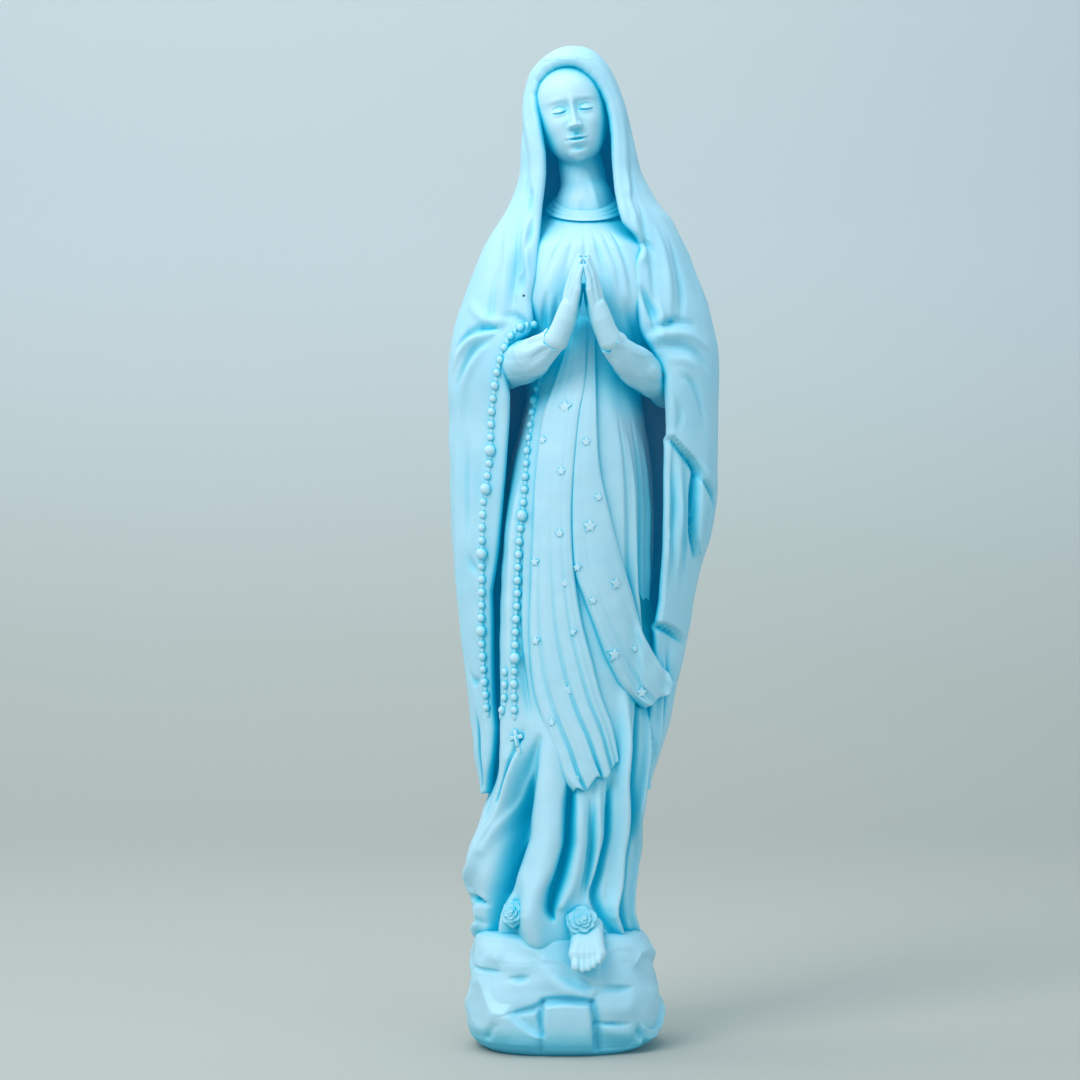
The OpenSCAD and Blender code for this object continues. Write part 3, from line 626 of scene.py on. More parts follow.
LEFT_FRONT_EDGE = [  # height, place across
    (95.9, 33.2), (108.9, 34.7), (122.2, 36.4), (132.3, 37.3), (147.4, 38.7), (162.5, 39), (169.5, 38.5),
    (177.5, 39.9), (202.4, 41.4), (229.2, 41.7), (247, 41.7), (258.9, 40.9), (266.9, 40.6), (272, 39),
    (277, 36.2), (281.5, 33.2), (285.5, 31.6), (290, 31.2), (295.5, 30.6), (301.5, 29.5), (310, 29.5),
    (313, 30.8), (316, 32.2), (319, 32), (322.2, 30.4), (325.3, 27.7), (328.2, 24.9), (332.8, 23.6),
    (340, 22.4), (347.2, 21.9), (354.3, 21.5), (362.5, 21.4), (369.8, 20.7), (376.1, 19.3), (381.3, 17.2),
    (385.6, 14.6), (388.9, 11.5), (391.1, 8.1), (392.4, 4.5), (392.7, 1)]
MANTLE_CLOSES = RIGHT_FRONT_EDGE[-1][0]
MANTLE_WALL = 4.4
CAPE_RISE, FALL_RISE, LAYER_EDGE = 2.8, 2.4, 0.9
MANTLE_FRONT = [
    # figure's right: the long fall from the shoulder
    (1.0, [(-22.2, 328.9, 1.6, 0), (-23.1, 315.3, 2.2, 1.2), (-24.1, 301, 2.4, 1.4), (-25, 288.9, 2.2, 0.4)]),
    (1.0, [(-17.6, 330.6, 1.2, 0), (-18.7, 315, 1.4, -1.1), (-20.1, 301.9, 1.4, -1.3), (-21.2, 290.8, 1.2, 0)]),
    (1.0, [(-27.1, 309.4, 1.4, 0), (-28.6, 300.2, 1.6, -0.9), (-29.5, 290.1, 1.6, -1.1),
           (-29.5, 283.1, 1.2, 0)]),
    (1.0, [(-14.5, 350.2, 1.4, 0), (-13.7, 335.6, 1.6, -0.9), (-13.9, 323, 1.4, -1.2),
           (-16.1, 313.9, 1.2, -0.9), (-17.6, 305.8, 1.0, 0)]),
    (1.4, [(-11.3, 342.7, 1.2, 0), (-13.5, 330.3, 1.8, 1.2), (-15.5, 319, 2.2, 2.0),
           (-14.5, 308.7, 1.9, 1.6), (-13.3, 298.6, 1.6, 0.6)]),
    (1.0, [(-14.9, 308.8, 0.9, 0), (-17.7, 303.3, 1.3, -1.3), (-18.3, 298.3, 1.0, 0)]),
    # gathers that fan from the bend of the arm
    (1.0, [(-43.7, 276.9, 1.0, 0), (-38.1, 283.5, 1.4, -1.7), (-31, 285.5, 1.3, -1.9),
           (-24.5, 284.5, 1.0, -0.8)]),
    (1.0, [(-45, 267.9, 1.4, 0), (-41.2, 275.6, 1.6, 1.3), (-34.6, 281.8, 1.7, 1.8), (-28, 283.2, 1.3, 0.8)]),
    (1.0, [(-43.8, 259.7, 1.0, 0), (-40.2, 269.5, 1.2, -1.4), (-35.5, 276.9, 1.2, -1.6),
           (-29.5, 280.5, 1.0, -0.5)]),
    (1.0, [(-40.7, 247.5, 1.6, 0), (-39.7, 259.5, 1.9, 1.2), (-35.9, 270.3, 1.9, 1.4), (-31, 277.1, 1.5, 0.4)]),
    (1.0, [(-38.3, 298, 1.4, 0), (-34.5, 291.4, 1.7, 1.1), (-28.5, 288.1, 1.6, 1.2), (-22, 287.8, 1.2, 0)]),
    (1.0, [(-26, 289.6, 0.9, 0), (-21, 290.2, 1.1, -1.2), (-16.6, 287.7, 1.1, -1.6), (-13.5, 284.6, 0.9, 0)]),
    (1.0, [(-38.7, 245.4, 0.8, 0), (-38.9, 229.4, 1.1, -0.8), (-38.8, 211.4, 1.2, -0.8),
           (-38.2, 195.4, 1.0, 0)]),
    (1.0, [(-42.9, 243.6, 1.8, 0), (-42.9, 217.5, 2.2, 1.0), (-42.1, 187.3, 2.2, 1.0),
           (-40.2, 157, 2.0, 0.6), (-38.4, 142.9, 1.6, 0)]),
    (1.0, [(-38.8, 197.4, 1.0, 0), (-36.6, 191.4, 1.5, -1.2), (-33.6, 189, 1.0, -0.3)]),
    (1.0, [(-37.9, 149.6, 1.0, 0), (-36.3, 145.7, 1.2, -1.7), (-33.8, 146.8, 0.8, -0.6)]),
    (1.0, [(-35.5, 135, 1.0, 0), (-34.7, 124.9, 1.3, -2.2), (-33.9, 112.7, 1.3, -2.8),
           (-33.3, 104.5, 1.0, -1.4)]),
    (1.0, [(-29.6, 247.2, 1.8, 0), (-30.6, 222.3, 2.4, 1.3), (-32.9, 192.4, 2.6, 1.5),
           (-33.3, 162.3, 2.4, 1.2), (-32.2, 137.2, 2.0, 0.4)]),
    # figure's left: shoulder and the gathers over the forearm
    (1.0, [(24.6, 349.9, 1.4, 0), (25.5, 335.3, 1.6, 0.9), (28.3, 322.9, 1.8, 1.2), (30.7, 312.8, 1.6, 0.6)]),
    (1.0, [(28, 338.6, 1.2, 0), (31.3, 325.1, 1.5, -1.0), (33.9, 313, 1.6, -1.2), (35, 299.8, 1.5, -0.8),
           (35.2, 289.8, 1.2, 0)]),
    (1.0, [(34.9, 328.5, 1.6, 0), (38.8, 315.3, 2.0, 1.2), (40.7, 301, 2.2, 1.4), (41, 289.9, 1.8, 0.4)]),
    (1.0, [(40.6, 323.8, 1.2, 0), (44.5, 309.5, 1.5, -1.0), (46, 297.3, 1.5, -1.2), (45.3, 288.1, 1.2, 0)]),
    (1.0, [(27.9, 317.2, 0.8, 0), (31.1, 319.4, 1.1, -1.5), (34, 317.7, 1.1, -1.2), (35.7, 312, 0.9, 0)]),
    (1.0, [(29.2, 302.7, 1.0, 0), (32, 296.7, 1.4, -2.4), (34.2, 291.1, 1.4, -2.4), (34.9, 286.8, 1.0, -0.6)]),
    (1.0, [(36, 296.8, 1.2, 0), (37.8, 289.8, 1.5, 1.2), (37, 282.8, 1.4, 0.8)]),
    (1.0, [(33.1, 284.3, 1.0, -0.6), (38, 286.4, 1.3, -2.0), (44.3, 288.1, 1.3, -1.8), (50.9, 287, 1.1, -0.6)]),
    (1.0, [(32.9, 280.3, 1.4, 0.8), (39.1, 282.7, 1.9, 1.9), (46.7, 283.1, 2.0, 1.8), (55, 279, 1.7, 0.6)]),
    (1.0, [(36.7, 277.8, 0.9, -0.9), (42.1, 278.6, 1.2, -1.5), (49.3, 277, 1.2, -1.4),
           (56.1, 269.6, 1.1, -0.3)]),
    (1.0, [(40.2, 272.9, 1.6, 0.6), (46.3, 272.9, 2.0, 1.4), (53.3, 265.4, 2.1, 1.2), (57.2, 253.6, 1.8, 0.3)]),
    (1.0, [(42.2, 267, 0.9, 0), (47.3, 265.2, 1.2, -1.1), (51.4, 257.4, 1.2, -1.1), (53.5, 247.4, 1.0, 0)]),
    (1.0, [(41.6, 259.1, 1.0, 0), (44.2, 251.2, 1.3, -0.9), (43.2, 244.2, 1.1, 0)])]
# the stepped layers on the figure's left: the cape over the forearm, then the fall under it
CAPE = [(34, 330), (38, 268), (39.6, 258), (41.2, 242.8), (45.7, 237.9), (50.3, 233), (52.8, 228.6), (52.0, 226.4),
        (51.5, 218), (51.2, 209), (51.6, 202), (52.6, 196), (56.5, 196.4), (59.4, 201), (80, 205), (90, 250), (70, 330)]
FALL = [(34, 330), (36, 260), (36.4, 200), (35.6, 169.4), (39.8, 168.8), (43.9, 167), (46.5, 164.4), (48.7, 161.1),
        (60, 156), (90, 210), (70, 330)]
LEFT_FALLS = [
    (1.0, [(41.6, 241.4, 0.7, -0.9), (46, 236.4, 0.8, -1.4), (50.4, 231.6, 1.0, -2.0), (52.6, 227, 1.1, -2.4)]),
    (1.0, [(52.4, 227.4, 0.8, -0.6), (55, 223.4, 1.1, -2.2), (57.4, 219.8, 1.2, -2.6),
           (58.6, 214.5, 1.0, -1.2)]),
    (1.0, [(51.6, 231.8, 1.6, 0.2), (54.6, 228, 1.8, 1.0), (58, 224, 1.8, 0.8), (59.6, 218, 1.4, 0)]),
    (1.0, [(35.8, 168.2, 0.8, -1.2), (39.9, 167.2, 1.0, -2.2), (43.9, 165.4, 1.0, -2.4),
           (46.6, 162.8, 0.9, -1.6), (48.4, 160, 0.7, 0)]),
    (1.0, [(51.6, 231, 0.8, 0), (51.2, 224, 1.4, -3.4), (50.9, 214, 1.4, -3.8), (51.0, 204, 1.3, -3.4),
           (52, 196, 1.0, -1.2)]),
    (1.0, [(42.8, 240, 1.0, 0), (42.9, 225, 1.2, -1.4), (42.4, 205, 1.2, -1.4), (42.4, 188, 1.0, 0)]),
    (1.0, [(45.6, 236, 1.2, 0), (45.7, 220, 1.5, 1.3), (45.3, 200, 1.5, 1.3), (45.0, 180, 1.2, 0)]),
    (1.0, [(48.4, 232, 0.9, 0), (48.3, 215, 1.1, -1.1), (47.9, 198, 1.1, -1.1), (47, 184, 0.9, 0)]),
    (1.0, [(39.9, 236, 1.2, 0), (40.2, 210, 1.4, 1.0), (39.6, 185, 1.3, 0.8), (38.4, 174, 1.0, 0)]),
    (1.0, [(57.4, 198, 1.0, 0), (56.6, 204, 1.6, 1.0), (57, 212, 1.6, 0.8), (57.6, 218, 1.0, 0)]),
    (1.0, [(42.6, 160, 0.9, 0), (42.4, 150, 1.2, -0.9), (41, 136, 1.2, -1.0), (38.6, 122, 1.0, 0)]),
    (1.0, [(41, 160, 1.6, 0), (40.8, 147, 2.0, 1.3), (39.4, 132, 2.0, 1.4), (37, 116, 1.5, 0.8)])]
MANTLE_STROKES = wrapped(MANTLE_SECTIONS, MANTLE_RADIUS, MANTLE_FRONT + LEFT_FALLS)


def laid_on(corners, rise, s, z):
    """A layer of cloth laid on the mantle inside corners seen from the front."""
    on_wall = [(float(on_front(MANTLE_SECTIONS, MANTLE_RADIUS, x, h)), h) for x, h in corners]
    return plate(s, z, on_wall, rise, LAYER_EDGE)


def hem_line(out):
    """The veil's hem round the face as one line, moved outwards from the opening."""
    up_side = [(x, z) for z, x in RIGHT_FRONT_EDGE if z > 336]
    line = np.array(up_side + [(x, z) for z, x in LEFT_FRONT_EDGE[::-1] if z > 336])
    run = np.gradient(line, axis=0)
    run /= np.hypot(run[:, 0], run[:, 1])[:, None] + 1e-9
    return [(x - out * b, z + out * a) for (x, z), (a, b) in zip(line, run)]


VEIL_HEM = [(1.0, [(x, z, 1.5, 0.9) for x, z in hem_line(1.9)][::2]),
            (1.0, [(x, z, 0.8, -0.5) for x, z in hem_line(4.6)][::2])]

BACK_FALLS = [  # long folds down the back: place round from straight behind, height, half width, rise
    (1.0, [(a, 345, 3, 0), (a * 1.3, 310, 5, 1.6), (a * 1.7, 250, 5.5, 2.4), (a * 1.6, 180, 5, 2.6),
           (a * 1.4, 105, 4.5, 2.6)])
    for a in (-38, -25, -12, 1, 14, 27, 39)] + [
    (1.0, [(-44 + 11 * n, 322 - 26 * n, 2, 0), (-20 + 3 * n, 306 - 27 * n, 3.4, 1.5),
           (4, 301 - 28 * n, 3.6, 1.7), (26 - 3 * n, 308 - 27 * n, 3.4, 1.4),
           (46 - 8 * n, 324 - 26 * n, 2, 0)]) for n in range(3)]


def mantle_relief(angle, z):
    s = angle * MANTLE_RADIUS
    mid, half = sections_at(MANTLE_SECTIONS, z)[:2]
    facing = np.where(np.cos(angle) > 0, mid + half * np.sin(angle), OFF_SIDE)
    from_behind = (np.abs(angle) - math.pi) * np.sign(-angle) * MANTLE_RADIUS
    front = np.clip((2.2 - np.abs(angle)) / 0.7, 0, 1)
    back = np.clip((np.abs(angle) - 1.7) / 0.7, 0, 1) * np.clip((345 - z) / 25, 0, 1)
    layers = ((laid_on(CAPE, CAPE_RISE, s, z) + laid_on(FALL, FALL_RISE, s, z)
               - 3.0 * np.clip((angle - 0.25) / 0.2, 0, 1))
              * np.clip((276 - z) / 26, 0, 1) * np.clip((1.40 - angle) / 0.32, 0, 1))
    soft = 0.22 * lumps(s, z, z * 0, 14, 31) * np.clip((392 - z) / 20, 0.2, 1)
    elbows = (2.4 * np.exp(-((facing + 31) / 11) ** 2 - ((z - 270) / 15) ** 2)
              + 2.2 * np.exp(-((facing - 45) / 11) ** 2 - ((z - 267) / 14) ** 2))
    ahead = strokes(s, z, MANTLE_STROKES) + strokes(facing, z, VEIL_HEM) + layers
    return elbows + ahead * front + back * (strokes(from_behind, z, BACK_FALLS) - 1.2) + soft


MANTLE_OUT, MANTLE_RIM, MANTLE_IN = 262, 7, 52
MANTLE_RING = MANTLE_OUT + MANTLE_IN + 2 * MANTLE_RIM
MANTLE_ROWS, ROWS_TO_CLOSE = 300, 276
HEM_HEIGHT, CROWN_HEIGHT = 101.5, 399.85
ROWS_AT = (0, 0.34, 0.68, 0.79, 0.87, ROWS_TO_CLOSE / MANTLE_ROWS, 1)
ROW_HEIGHTS = (HEM_HEIGHT, 215, 343, 382, 391.2, MANTLE_CLOSES, CROWN_HEIGHT)


def front_edge(table, z):
    """A front edge's angle at each height, and the way from it into the opening, across and up."""
    table = np.array(table)
    x = np.interp(z, table[:, 0], table[:, 1])
    slope = (np.interp(z + 0.6, table[:, 0], table[:, 1]) - np.interp(z - 0.6, table[:, 0], table[:, 1])) / 1.2
    length = np.hypot(1, slope)
    return on_front(MANTLE_SECTIONS, 1, x, z), 1 / length, slope / length


def mantle_skin(across, up):
    """One closed line round the wall at each height: outside, right rim, inside, left rim."""
    z = flow(up, ROWS_AT, ROW_HEIGHTS)
    start, start_across, start_up = front_edge(LEFT_FRONT_EDGE, z)
    end, end_across, end_up = front_edge(RIGHT_FRONT_EDGE, z)
    place = across * MANTLE_RING
    outside = np.clip(place / MANTLE_OUT, 0, 1)
    right_rim = np.clip((place - MANTLE_OUT) / MANTLE_RIM, 0, 1)
    inside = np.clip((place - MANTLE_OUT - MANTLE_RIM) / MANTLE_IN, 0, 1)
    left_rim = np.clip((place - MANTLE_OUT - MANTLE_RIM - MANTLE_IN) / MANTLE_RIM, 0, 1)
    t = outside * 2 - 1
    t = t * 1.32 - 0.32 * t ** 3
    turn = np.where(place <= MANTLE_OUT + MANTLE_RIM, (t + 1) / 2, 1 - inside)
    angle = start + (end + 2 * math.pi - start) * turn
    from_front = np.where(angle > math.pi, angle - 2 * math.pi, angle)
    depth = right_rim * (1 - left_rim)
    wall = np.minimum(MANTLE_WALL, 0.9 + 0.35 * np.clip(CROWN_HEIGHT - z, 0, 30))
    round_edge = wall / 2 * np.sqrt(np.clip(1 - (2 * depth - 1) ** 2, 0, 1))
    half = sections_at(MANTLE_SECTIONS, z)[1]
    at_right = place < MANTLE_OUT + MANTLE_RIM + 1
    angle = angle + round_edge / np.maximum(half, 6) * np.where(at_right, end_across, -start_across)
    z_out = round_edge * np.where(at_right, -end_up, start_up)
    lift = mantle_relief(from_front, z) * (1 - 0.4 * depth) - wall * depth
    x, y = body_point(MANTLE_SECTIONS, angle, z, lift)
    ease = np.clip((z - 375) / 18, 0, 1)
    wave = 3.4 * np.cos(from_front) ** 3 * (np.cos(from_front) > 0) + 1.3 * np.sin(5 * from_front)
    hem = np.clip((112 - z) / 11, 0, 1) * wave
    return x, y, z + z_out - 0.5 * wall * depth * ease + hem


mantle = clay_sheet("mantle_draped", MANTLE_RING, MANTLE_ROWS, mantle_skin,
                    lambda across, up: (across > MANTLE_OUT / MANTLE_RING) & (up > ROWS_TO_CLOSE / MANTLE_ROWS))
sew(mantle, 80)
finish_piece(mantle, mantle_paint, "mantle_paint", "mantle")

# Head: cast with the neck and set on its dowel, leaning a little to the figure's right.
# The face is calm and general, with lowered lids, on the halves and thirds of a drawing manual.
skin_paint = plaster("skin_paint", (0.52, 0.79, 0.90), grain=0.5, pinholes=0.0)

HEAD_MID_X = 7.2
HEAD_LEAN, LEANS_FROM = math.radians(9), 345
CHIN, CROWN = 352.6, 392.0
HEAD_FORMS = [  # clay forms pressed together: middle (across, back, up), half sizes (across, back, up)
    ((0, 0.0, 376.5), (15.4, 18.6, 18.0)), ((0, -3.6, 370), (13.6, 15.4, 16.2)),
    ((0, -6.6, 361.5), (10.6, 11.2, 8.8)),
    ((0, -12.2, 356.9), (5.0, 5.2, 4.3)), ((0.4, 2.0, 345), (9.2, 9.6, 30)), ((0.6, 0.6, 330), (13.2, 12.9, 19.5))]
THIRD = (CROWN - 2.6 - CHIN) / 3
EYE_LINE, BROW, NOSE_FOOT = (CHIN + CROWN) / 2 + 0.4, CHIN + 2 * THIRD, CHIN + THIRD
MOUTH = NOSE_FOOT - THIRD / 3
EYE = 27 / 5


def head_reach(angle, z):
    """How far the pressed-together forms reach from the head's upright axis at an angle from the front."""
    total = np.zeros_like(z)
    east, south = np.sin(angle), -np.cos(angle)
    for (cx, cy, cz), (rx, ry, rz) in HEAD_FORMS:
        size = np.sqrt(np.clip(1 - ((z - cz) / rz) ** 2, 1e-4, 1))
        a, b = rx * size, ry * size
        p, q = (east / a) ** 2 + (south / b) ** 2, east * cx / a ** 2 + south * cy / b ** 2
        r = (cx / a) ** 2 + (cy / b) ** 2 - 1
        inside = q * q - p * r
        reach = np.where((inside > 0) & (np.abs(z - cz) < rz), (q + np.sqrt(np.maximum(inside, 0))) / p, 0)
        total = total + np.exp(np.minimum(reach, 40) / 0.7)
    return np.maximum(0.7 * np.log(total - len(HEAD_FORMS) + 1.01), 0.2)


def mound(x, z, mid_x, mid_z, wide, tall, rise):
    return rise * np.exp(-((x - mid_x) / wide) ** 2 - ((z - mid_z) / tall) ** 2)


def face_relief(x, z):
    """How far the features stand forward of the plain head, with x from the middle of the face."""
    side = np.abs(x)
    eye_x = side - EYE
    rise = mound(x, z, 0, BROW + 4.5, 9, 5, 0.35)
    rise += mound(eye_x, z, 0.3, BROW - 0.2, 4.2, 1.3, 0.5)
    rise += mound(eye_x, z, -0.6, EYE_LINE + 0.6, 3.9, 3.3, -2.0)
    rise += mound(side, z, 1.9, EYE_LINE + 0.4, 1.2, 2.6, -0.7)
    rise += mound(eye_x, z, 0.1, EYE_LINE + 0.1, 2.5, 1.9, 1.65)
    slit = EYE_LINE - 0.9 + 0.06 * eye_x ** 2 - 0.03 * eye_x
    fold = EYE_LINE + 1.75 - 0.11 * eye_x ** 2
    on_eye = np.exp(-(eye_x / 2.7) ** 6)
    rise -= on_eye * 0.60 * np.exp(-((z - slit) / 0.30) ** 2)
    rise += on_eye * 0.34 * np.exp(-((z - slit - 0.6) / 0.36) ** 2)
    rise += on_eye * 0.20 * np.exp(-((z - slit + 0.7) / 0.38) ** 2)
    rise -= on_eye * 0.42 * np.exp(-((z - fold) / 0.36) ** 2)
    down = np.clip((BROW - z) / (BROW - NOSE_FOOT - 1), 0, 1)
    under = 1 / (1 + np.exp(-(z - NOSE_FOOT + 0.2) / 0.30))
    start = np.clip((BROW + 2.5 - z) / 4, 0, 1)
    rise += (0.6 + 2.9 * down ** 1.3) * np.exp(-(x / (1.25 + 0.85 * down ** 1.5)) ** 2) * under * start
    rise += mound(x, z, 0, NOSE_FOOT + 1.3, 1.5, 1.3, 0.7)
    rise += mound(side, z, 2.05, NOSE_FOOT + 1.0, 0.95, 1.05, 1.5)
    rise += mound(side, z, 3.2, NOSE_FOOT + 1.6, 0.7, 1.6, -0.35)
    rise += mound(side, z, 1.0, NOSE_FOOT - 0.3, 0.7, 0.45, -0.8)
    rise += mound(x, z, 0, MOUTH, 5.4, 3.4, 0.9)
    rise += mound(x, z, 0, NOSE_FOOT - 2.0, 0.6, 1.2, -0.35)
    rise += mound(side, z, 1.05, NOSE_FOOT - 2.0, 0.5, 1.3, 0.18)
    top_mid = MOUTH + 0.95 - 0.13 * side + 0.20 * np.exp(-((side - 1.0) / 0.6) ** 2)
    rise += np.exp(-(x / 3.7) ** 4) * 1.05 * np.exp(-((z - top_mid) / 0.75) ** 2)
    rise += np.exp(-(x / 3.1) ** 4) * 1.35 * np.exp(-((z - MOUTH + 1.35) / 1.0) ** 2)
    rise -= np.exp(-(x / 3.9) ** 6) * 0.85 * np.exp(-((z - MOUTH - 0.03 * side ** 1.5) / 0.32) ** 2)
    rise += mound(side, z, 4.3, MOUTH + 0.1, 0.7, 0.7, -0.45)
    rise += mound(x, z, 0, MOUTH - 3.4, 3.2, 0.95, -0.95)
    rise += mound(x, z, 0, CHIN + 2.6, 3.2, 2.2, 0.9)
    rise += mound(side, z, 7.6, EYE_LINE - 5.6, 3.4, 3.8, 0.7)
    rise += mound(side, z, 6.6, MOUTH + 2.6, 3.0, 3.4, 0.5)
    rise += mound(side, z, 10.8, EYE_LINE + 2.8, 2.2, 3.4, -0.5)
    return rise


def head_skin(across, up):
    t = across * 2 - 1
    angle = math.pi * (0.40 * t + 0.60 * t ** 3)
    z = flow(up, (0, 0.14, 0.3, 0.8, 1), (327, 345, 353.5, 381, 394.6))
    reach = head_reach(angle, z)
    return HEAD_MID_X + reach * np.sin(angle), 1 - reach * np.cos(angle), z


def head_detail(piece):
    """Works the features into the smoothed head, then leans it over on the neck."""
    at = np.empty(len(piece.data.vertices) * 3)
    piece.data.vertices.foreach_get("co", at)
    x, y, z = at.reshape(-1, 3).T / U
    from_mid = x - HEAD_MID_X
    forward = np.clip((2 - y) / 9, 0, 1) * np.clip(1.25 - (from_mid / 14) ** 4, 0, 1)
    y = y - forward * face_relief(from_mid, z)
    cords = (np.exp(-((from_mid - 5.0 + (z - 338) * 0.3) / 1.4) ** 2)
             + np.exp(-((from_mid + 5.0 - (z - 338) * 0.3) / 1.4) ** 2)) * (y < 0)
    y = y - 0.55 * cords * np.sin(np.clip((z - 328) / 24, 0, 1) * math.pi)
    y = y + 0.8 * np.exp(-(from_mid / 2.2) ** 2 - ((z - 334) / 3) ** 2) * (y < 0)
    lean = HEAD_LEAN * np.clip((z - 338) / 14, 0, 1)
    dx, dz = x - HEAD_MID_X, z - LEANS_FROM
    x = HEAD_MID_X + dx * np.cos(lean) - dz * np.sin(lean)
    z = LEANS_FROM + dx * np.sin(lean) + dz * np.cos(lean)
    piece.data.vertices.foreach_set("co", (np.stack([x, y, z], 1) * U).ravel())
    piece.data.update()


head = sew(clay_sheet("head_modelled", 300, 310, head_skin), 80)


def work(piece, name, kind, **settings):
    """Puts a modifier on the active piece and makes it permanent."""
    made = piece.modifiers.new(name, kind)
    for key, value in settings.items():
        setattr(made, key, value)
    bpy.ops.object.modifier_apply(modifier=name)


work(head, "thumbed", "SMOOTH", iterations=12)
head_detail(head)
finish_piece(head, skin_paint, "skin_paint", "head")

# Forearm sleeves: tight undersleeves cast apart and bonded between mantle and hand, with the
# modeller's flat knife strokes left on them and a ragged joint at the wrist.
SLEEVES = {  # from under the mantle to the wrist: places, and the radius at each
    "right": (((-31, -4, 266.5), (-22.5, -15.5, 270), (-13.2, -28.5, 273.4), (-4.6, -39.6, 279.5)),
              (7.4, 7.9, 8.0, 5.0)),
    "left": (((44, -4, 260.5), (36, -15.5, 265.6), (26.4, -29, 271), (17.1, -39.8, 279.1)), (7.6, 7.9, 7.3, 4.8))}


def sleeve_skin(path, radii, seed):
    path = np.array(path, float)
    run = run_along(path)

    def place(across, up):
        turn = across * 2 * math.pi
        reach = np.clip(up / 0.94, 0, 1) * run[-1]
        close = np.clip((up - 0.94) / 0.06, 0, 1)
        middle = np.stack([flow(reach, run, path[:, c]) for c in range(3)], 1)
        along = np.stack([flow(reach + 0.5, run, path[:, c]) - flow(reach - 0.5, run, path[:, c])
                          for c in range(3)], 1)
        along /= np.linalg.norm(along, axis=1)[:, None]
        over = np.cross(along, (0, 0, 1.0))
        over /= np.linalg.norm(over, axis=1)[:, None]
        upward = np.cross(over, along)
        r = flow(reach, run, radii) * np.sqrt(np.clip(1 - np.clip(1 - reach / 3, 0, 1) ** 2, 0.01, 1))
        knife = lumps(reach * 0.8, 3.4 * np.cos(turn) * 2.4, 3.4 * np.sin(turn) * 2.4, 8.5, seed)
        flats = 0.30 * np.abs(np.sin(turn * 3.5 + reach * 0.16 + seed)) - 0.15
        r = r + 0.46 * np.sign(knife) * np.abs(knife) ** 0.55 + flats
        r = r * (1 - 0.22 * close ** 2)
        ragged = 0.7 * np.sin(turn * 3 + seed) + 0.35 * np.sin(turn * 8)
        spread = middle + over * (r * np.cos(turn))[:, None] + upward * (r * np.sin(turn))[:, None]
        spread = spread + along * (ragged * np.clip((up - 0.85) / 0.1, 0, 1))[:, None]
        return spread[:, 0], spread[:, 1], spread[:, 2]
    return place


for hand_side, (path, radii) in SLEEVES.items():
    sleeve = clay_sheet(hand_side + "_sleeve_cut", 120, 110, sleeve_skin(path, radii, len(hand_side)))
    sew(sleeve, 60)
    finish_piece(sleeve, gown_paint, "gown_paint", hand_side + "_sleeve")

# Hands: joined palm to palm, the fingers straight up and the little fingers foremost. Each is a
# separate casting, thicker than life at the knuckles so that it doesn't snap.
PALM_PLANE = 6.8
FINGERS = [  # little to first finger: root, knuckle, tip, radius at each
    ((2.6, -44.6, 291), (4.5, -46.6, 298.4), (6.2, -46.4, 307.4), (2.1, 1.55, 1.0)),
    ((1.6, -44.2, 291), (2.9, -45.4, 299.4), (5.7, -44.8, 310.2), (2.4, 1.6, 1.05)),
    ((0.6, -42.4, 291), (1.4, -43.2, 299.2), (5.2, -43.0, 311.8), (2.6, 1.65, 1.1)),
    ((0.2, -40, 291), (0.8, -40.4, 298.4), (5.0, -40.6, 310.4), (2.4, 1.65, 1.1))]
PALM = [((-6.4, -37.6, 278.6), 4.4), ((-3.6, -40.2, 279.6), 4.7), ((-1.8, -41.4, 283.2), 4.4),
        ((0.0, -42.4, 287.6), 4.4), ((1.5, -43, 292), 4.0)]
BACK_OF_HAND = [((0.6, -39.4, 288), 3.9), ((1.6, -39.6, 292.6), 3.6), ((2.9, -41.6, 296.6), 2.9)]
THUMB = [((2.4, -37, 289), 2.4), ((4.4, -35.6, 295), 2.0), ((5.6, -35.8, 301), 1.5)]


def flip(point, mirrored):
    return (2 * PALM_PLANE - point[0] if mirrored else point[0], point[1], point[2])


def round_form(points):
    """Balls of clay along a line of (place, radius), near enough to run together."""
    run = []
    for (p, r), (q, s) in zip(points[:-1], points[1:]):
        for f in np.linspace(0, 1, 9):
            run.append((tuple(np.array(p) + (np.array(q) - np.array(p)) * f), r + (s - r) * f))
    return run


def join_up(parts, name):
    """Joins parts into one piece under one name."""
    bpy.ops.object.select_all(action="DESELECT")
    for part in parts:
        part.select_set(True)
    bpy.context.view_layer.objects.active = parts[0]
    bpy.ops.object.join()
    piece = bpy.context.object
    piece.name = piece.data.name = name
    return piece


def settle():
    """Makes the place, turn and scale of the chosen piece permanent."""
    bpy.ops.object.transform_apply(location=True, rotation=True, scale=True)


def press_together(name, balls, grain, rounds):
    """Adds each ball, joins them, and remeshes the lot into one closed skin."""
    made = []
    for place, radius in balls:
        bpy.ops.mesh.primitive_ico_sphere_add(subdivisions=3, radius=radius * U, location=[c * U for c in place])
        made.append(bpy.context.object)
    piece = join_up(made, name)
    settle()
    work(piece, "skin", "REMESH", mode="VOXEL", voxel_size=grain * U)
    work(piece, "thumbed", "SMOOTH", iterations=rounds)
    bpy.ops.object.shade_smooth()
    return piece


